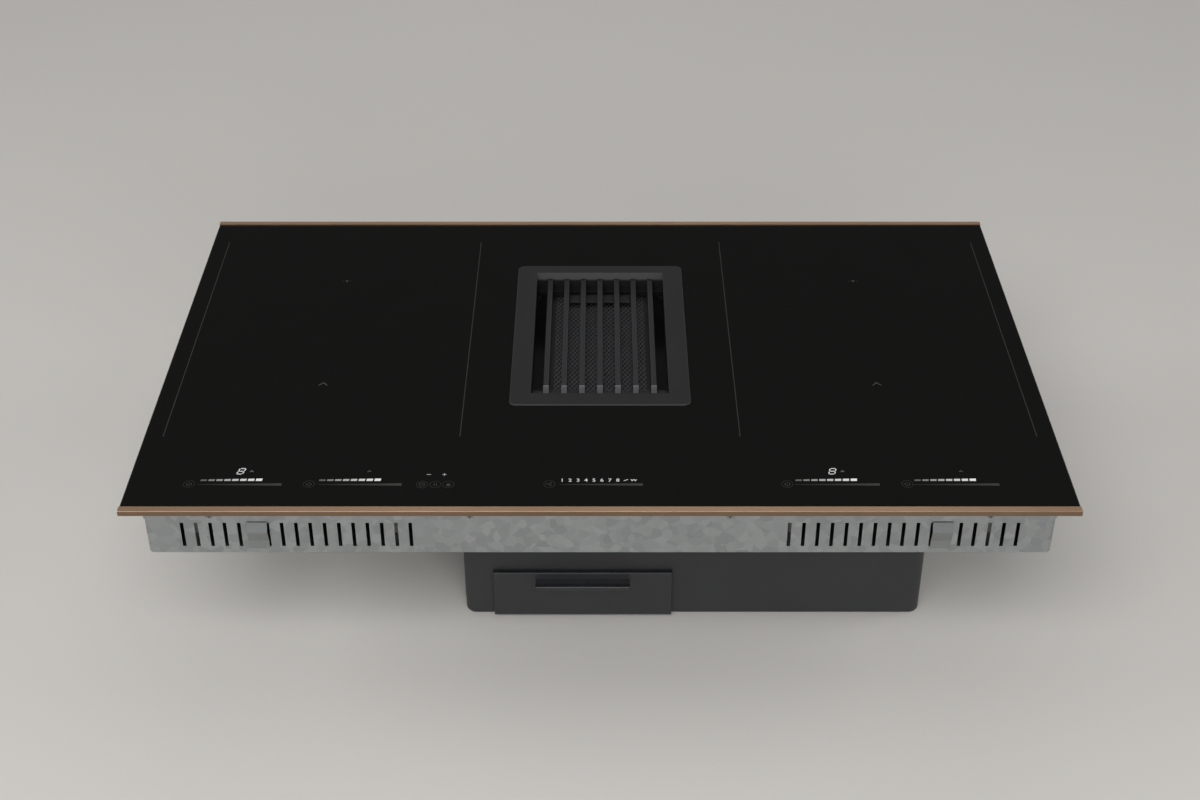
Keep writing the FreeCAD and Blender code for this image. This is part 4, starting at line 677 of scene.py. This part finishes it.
def lightNumbers(marking):
    bm, layer = marking
    row = numberRow
    for i in range(row["count"]):
        curve = bpy.data.curves.new("number", "FONT")
        curve.body = str(i + 1)
        curve.size = row["height"] / row["capShare"] * mm
        curve.align_x = "CENTER"
        curve.offset = row["bold"] * mm
        curve.extrude = marks["thickness"] / 2 * mm
        text = bpy.data.objects.new("number", curve)
        bpy.context.scene.collection.objects.link(text)
        bpy.context.view_layer.update()
        shown = text.evaluated_get(bpy.context.evaluated_depsgraph_get())
        mesh = bpy.data.meshes.new_from_object(shown)
        x = row["x"] + i * row["pitch"]
        y = row["y"] - row["height"] / 2
        mesh.transform(Matrix.Translation((x * mm, y * mm, glassTop + marks["thickness"] / 2 * mm)))
        known = len(bm.verts)
        bm.from_mesh(mesh)
        bm.verts.ensure_lookup_table()
        for vertex in bm.verts[known:]:
            vertex[layer] = row["glow"]
        bpy.data.objects.remove(text)
        bpy.data.curves.remove(curve)
        bpy.data.meshes.remove(mesh)


def lightSymbols(marking):
    # a wave and two downward chevrons end the row of numbers
    y = numberRow["y"]
    x = numberRow["x"] + numberRow["count"] * numberRow["pitch"]
    wave = [(x - 1.9, y - 1.2), (x - 0.4, y - 0.2), (x + 0.4, y - 0.2), (x + 1.9, y + 1.0)]
    addStroke(marking, wave, 0.9, 0.3)
    x += numberRow["pitch"]
    for dx in (-1.3, 1.3):
        addChevron(marking, x + dx, y, 1.2, -1.0, 0.8, 0.38)
    for x, width, glow in marks["chevrons"]:
        addChevron(marking, x, marks["digitY"], 1.6, 0.9, width, glow)
    # minus and plus over the timer's keys; the plus's upright stays clear of its bar
    y, half, gap, width, glow = marks["plusY"], 1.8, 0.35, 0.7, marks["plusGlow"]
    for x in (marks["minusX"], marks["plusX"]):
        addStroke(marking, [(x - half, y), (x + half, y)], width, glow)
    for y0, y1 in ((y - half, y - gap), (y + gap, y + half)):
        addStroke(marking, [(marks["plusX"], y0), (marks["plusX"], y1)], width, glow)


inkMarks = newMarks()
printZones(inkMarks)
printKeys(inkMarks)
printSliders(inkMarks)
makeObject("printed_marks", inkMarks[0], ink, "casing")
litMarks = newMarks()
lightBars(litMarks)
for x in marks["digitX"]:
    lightDigit(litMarks, x, marks["digitY"])
lightNumbers(litMarks)
lightSymbols(litMarks)
makeObject("lit_marks", litMarks[0], lit, "casing")
print("marks on the glass made")


# the filter's mesh

filterMesh = {
    "pitchAcross": 4.5,
    "pitchAlong": 8.0,
    "wide": 1.1,
    "high": 0.35,
    "thinShare": 0.7,  # width of the strands that fall to the right, and their height
    "low": 0.16,
    "taper": 0.35,  # what a strand loses of its width towards its top
    "rim": 5.0,
    "windows": 3,
}


def addStrand(bm, start, end, normal, width, height):
    along = (end - start).normalized()
    side = along.cross(normal).normalized() * width / 2
    up = normal * height
    taper = filterMesh["taper"]
    corners = [(start, -side), (start, side), (end, side), (end, -side)]
    low = [bm.verts.new(middle + out) for middle, out in corners]
    high = [bm.verts.new(middle + up + out * (1 - taper)) for middle, out in corners]
    bm.faces.new(high)
    bm.faces.new(low[::-1])
    for i in range(4):
        j = (i + 1) % 4
        bm.faces.new((low[i], low[j], high[j], high[i]))


def addMeshPanel(bm, corner, across, along, normal):
    # diamonds over a panel from its corner; across and along are its two edges. The strands that
    # rise to the right stand higher, and are wider, than the others
    stepA = filterMesh["pitchAcross"] * mm
    stepB = filterMesh["pitchAlong"] * mm
    a, b = across.normalized(), along.normalized()
    columns = int(across.length / (stepA / 2))
    rows = int(along.length / (stepB / 2))
    spareA = (across.length - columns * stepA / 2) / 2
    spareB = (along.length - rows * stepB / 2) / 2
    for i in range(columns):
        for j in range(rows):
            x, y = spareA + i * stepA / 2, spareB + j * stepB / 2
            rising = (i + j) % 2 == 0
            y0, y1 = (y, y + stepB / 2) if rising else (y + stepB / 2, y)
            start = corner + a * x + b * y0
            end = corner + a * (x + stepA / 2) + b * y1
            width = filterMesh["wide"] * (1.0 if rising else filterMesh["thinShare"])
            height = filterMesh["high"] if rising else filterMesh["low"]
            addStrand(bm, start, end, normal, width * mm, height * mm)


def filterStrands():
    bm = bmesh.new()
    (x0, y0, _), (x1, y1, z1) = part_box("filter_mesh")
    frameLow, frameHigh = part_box("filter_frame")
    rim = filterMesh["rim"] * mm
    left, right = frameLow[0] + rim, frameHigh[0] - rim
    front, rear = frameLow[1] + rim, frameHigh[1] - rim
    addMeshPanel(bm, Vector((left, front, z1)), Vector((right - left, 0, 0)),
                 Vector((0, rear - front, 0)), Vector((0, 0, 1)))
    low = frameLow[2] + rim
    tall = Vector((0, 0, frameHigh[2] - rim - low))
    addMeshPanel(bm, Vector((left, y0, low)), Vector((right - left, 0, 0)), tall, Vector((0, -1, 0)))
    addMeshPanel(bm, Vector((right, y1, low)), Vector((left - right, 0, 0)), tall, Vector((0, 1, 0)))
    pitch = (rear - front + rim) / filterMesh["windows"]
    for i in range(filterMesh["windows"]):
        a, b = front + i * pitch, front + (i + 1) * pitch - rim
        addMeshPanel(bm, Vector((x0, b, low)), Vector((0, a - b, 0)), tall, Vector((-1, 0, 0)))
        addMeshPanel(bm, Vector((x1, a, low)), Vector((0, b - a, 0)), tall, Vector((1, 0, 0)))
    makeObject("filter_strands", bm, strand, "filter")


filterStrands()
print("filter mesh made")


# screws in the casing's walls

wallScrew = {
    "headRadius": 3.5,
    "headHeight": 1.8,
    "crown": 0.35,  # share of the height that the head's rim lacks
    "shankRadius": 2.0,
    "length": 6.0,
    "z": -9.0,
    "recess": 0.9,  # depth of the cross
    "arm": 0.55,  # half the width of the cross's arms
    "reach": 2.1,
    "longCount": 4,
    "longRow": 0.85,  # shares of the wall's length over which the screws are spread
    "shortRow": 0.6,
}


def screwMesh(bm, place):
    # a pan head with a cross recess on its shank; the head's outer face looks along +Z
    size = wallScrew
    around, rings = 40, 12
    turns = [2 * math.pi * step / around for step in range(around)]
    rows = []
    for ring in range(rings + 1):
        r = size["headRadius"] * ring / rings
        crown = size["headHeight"] * (1 - size["crown"] * (ring / rings) ** 3)
        row = []
        for turn in turns:
            x, y = r * math.cos(turn), r * math.sin(turn)
            inArm = min(abs(x), abs(y)) < size["arm"] and max(abs(x), abs(y)) < size["reach"]
            row.append(bm.verts.new((x * mm, y * mm, (crown - (size["recess"] if inArm else 0)) * mm)))
        rows.append(row)
    for r, z in ((size["headRadius"], 0.0), (size["shankRadius"], 0.0),
                 (size["shankRadius"], -size["length"])):
        rows.append([bm.verts.new((r * mm * math.cos(turn), r * mm * math.sin(turn), z * mm))
                     for turn in turns])
    for inner, outer in zip(rows, rows[1:]):
        for i in range(around):
            j = (i + 1) % around
            bm.faces.new((inner[i], outer[i], outer[j], inner[j]))
    bm.faces.new(rows[-1])
    made = [vertex for row in rows for vertex in row]
    bmesh.ops.transform(bm, matrix=place, verts=made)
    bmesh.ops.remove_doubles(bm, verts=rows[0], dist=1e-7)


def wallScrews():
    bm = bmesh.new()
    (x0, y0, _), (x1, y1, _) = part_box("support_frame")
    z = wallScrew["z"] * mm
    quarter = math.radians(90)
    count = wallScrew["longCount"]
    for i in range(count):
        x = x0 * wallScrew["longRow"] + (x1 - x0) * wallScrew["longRow"] * i / (count - 1)
        for y, turn in ((y0, quarter), (y1, -quarter)):
            screwMesh(bm, Matrix.Translation((x, y, z)) @ Matrix.Rotation(turn, 4, "X"))
    for y in (y0 * wallScrew["shortRow"], y1 * wallScrew["shortRow"]):
        for x, turn in ((x0, -quarter), (x1, quarter)):
            screwMesh(bm, Matrix.Translation((x, y, z)) @ Matrix.Rotation(turn, 4, "Y"))
    screws = makeObject("wall_screws", bm, zincPlate, "casing")
    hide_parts("casing_screws")


wallScrews()
print("screws made")


# grip ribs on the cable gland's cap

gland = {
    "ribs": 24,
    "ribWidth": 1.3,
    "ribHeight": 0.5,
    "ribRoot": 0.6,  # depth in the cap
    "from": 3.0,
    "to": 16.0,
    "runOut": 0.8,  # length over which a rib falls off at its ends, and by how much
    "fall": 0.5,
}


def glandRibs():
    bm = bmesh.new()
    low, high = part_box("cable_gland")
    x, y = (low[0] + high[0]) / 2, (low[1] + high[1]) / 2
    radius = (high[0] - low[0]) / 2
    z0, z1 = low[2] + gland["from"] * mm, low[2] + gland["to"] * mm
    half = gland["ribWidth"] * mm / 2
    inner, outer = radius - gland["ribRoot"] * mm, radius + gland["ribHeight"] * mm
    profile = [(inner, -half), (outer, -half * 0.5), (outer, half * 0.5), (inner, half)]
    end, fall = gland["runOut"] * mm, gland["fall"] * mm
    levels = ((z0, fall), (z0 + end, 0), (z1 - end, 0), (z1, fall))
    for i in range(gland["ribs"]):
        turn = Matrix.Translation((x, y, 0)) @ Matrix.Rotation(2 * math.pi * i / gland["ribs"], 4, "Z")
        rows = []
        for z, pull in levels:
            rows.append([bm.verts.new(turn @ Vector((max(inner, r - pull), s, z))) for r, s in profile])
        for a, b in zip(rows, rows[1:]):
            for k in range(4):
                m = (k + 1) % 4
                bm.faces.new((a[k], a[m], b[m], b[k]))
        bm.faces.new(rows[0][::-1])
        bm.faces.new(rows[-1])
    makeObject("gland_ribs", bm, glandNylon, "casing")


glandRibs()
print("gland ribs made")


# room

def paintedFloor():
    # smooth painted board: pale and dull, with the faintest roller texture
    material, tree, shader, place = startMaterial("boardPaintedPale", room["floorColour"], 0.75)
    shader["Specular IOR Level"].default_value = 0.2
    cloud = addNode(tree, "TexNoise", {"Scale": 3.0, "Detail": 2.0}, {"Vector": place})
    addNode(tree, "Mix", {6: linear(room["floorCloud"]), 7: linear(room["floorColour"])},
            {0: cloud.outputs["Fac"]}, {shader["Base Color"]: 2}, data_type="RGBA")
    return material


def makeRoom():
    half = room["floorSize"] / 2
    z = cadBounds[0][2]
    mesh = bpy.data.meshes.new("floor")
    corners = [(-half, -half, z), (half, -half, z), (half, half, z), (-half, half, z)]
    mesh.from_pydata(corners, [], [(0, 1, 2, 3)])
    mesh.materials.append(paintedFloor())
    floor = bpy.data.objects.new("floor", mesh)
    bpy.context.scene.collection.objects.link(floor)

    world = bpy.data.worlds.new("studio")
    bpy.context.scene.world = world
    world.use_nodes = True
    tree = world.node_tree
    sky = tree.nodes["Background"].inputs
    direction = addNode(tree, "TexCoord").outputs["Generated"]
    height = addNode(tree, "SeparateXYZ", {}, {0: direction})
    ramp = addNode(tree, "ValToRGB", {}, {0: height.outputs["Z"]}, {sky["Color"]: "Color"})
    stops = ramp.color_ramp.elements
    stops[0].position, stops[1].position = room["heights"][:2]
    for position in room["heights"][2:]:
        stops.new(position)
    for stop, level in zip(stops, room["strengths"]):
        stop.color = (level, level, level, 1.0)

    for name, (place, size, power) in room["lamps"].items():
        lamp = bpy.data.lights.new(name, "AREA")
        lamp.shape = "RECTANGLE"
        lamp.size, lamp.size_y = size
        lamp.energy = power
        holder = bpy.data.objects.new(name, lamp)
        holder.location = place
        holder.rotation_euler = (-Vector(place)).to_track_quat("-Z", "Y").to_euler()
        # the fills leave no mirror image in the glass
        holder.visible_glossy = name.startswith("softbox")
        bpy.context.scene.collection.objects.link(holder)


def makeCamera():
    data = bpy.data.cameras.new("photoCamera")
    data.lens = camera["lens"]
    data.sensor_width = 36.0
    holder = bpy.data.objects.new("photoCamera", data)
    holder.location = camera["place"]
    holder.rotation_euler = (math.radians(90 - camera["lookingDown"]), 0.0, 0.0)
    bpy.context.scene.collection.objects.link(holder)
    bpy.context.scene.camera = holder


makeRoom()
makeCamera()
bpy.context.scene.view_settings.view_transform = "Standard"
print("room, lamps and camera made")
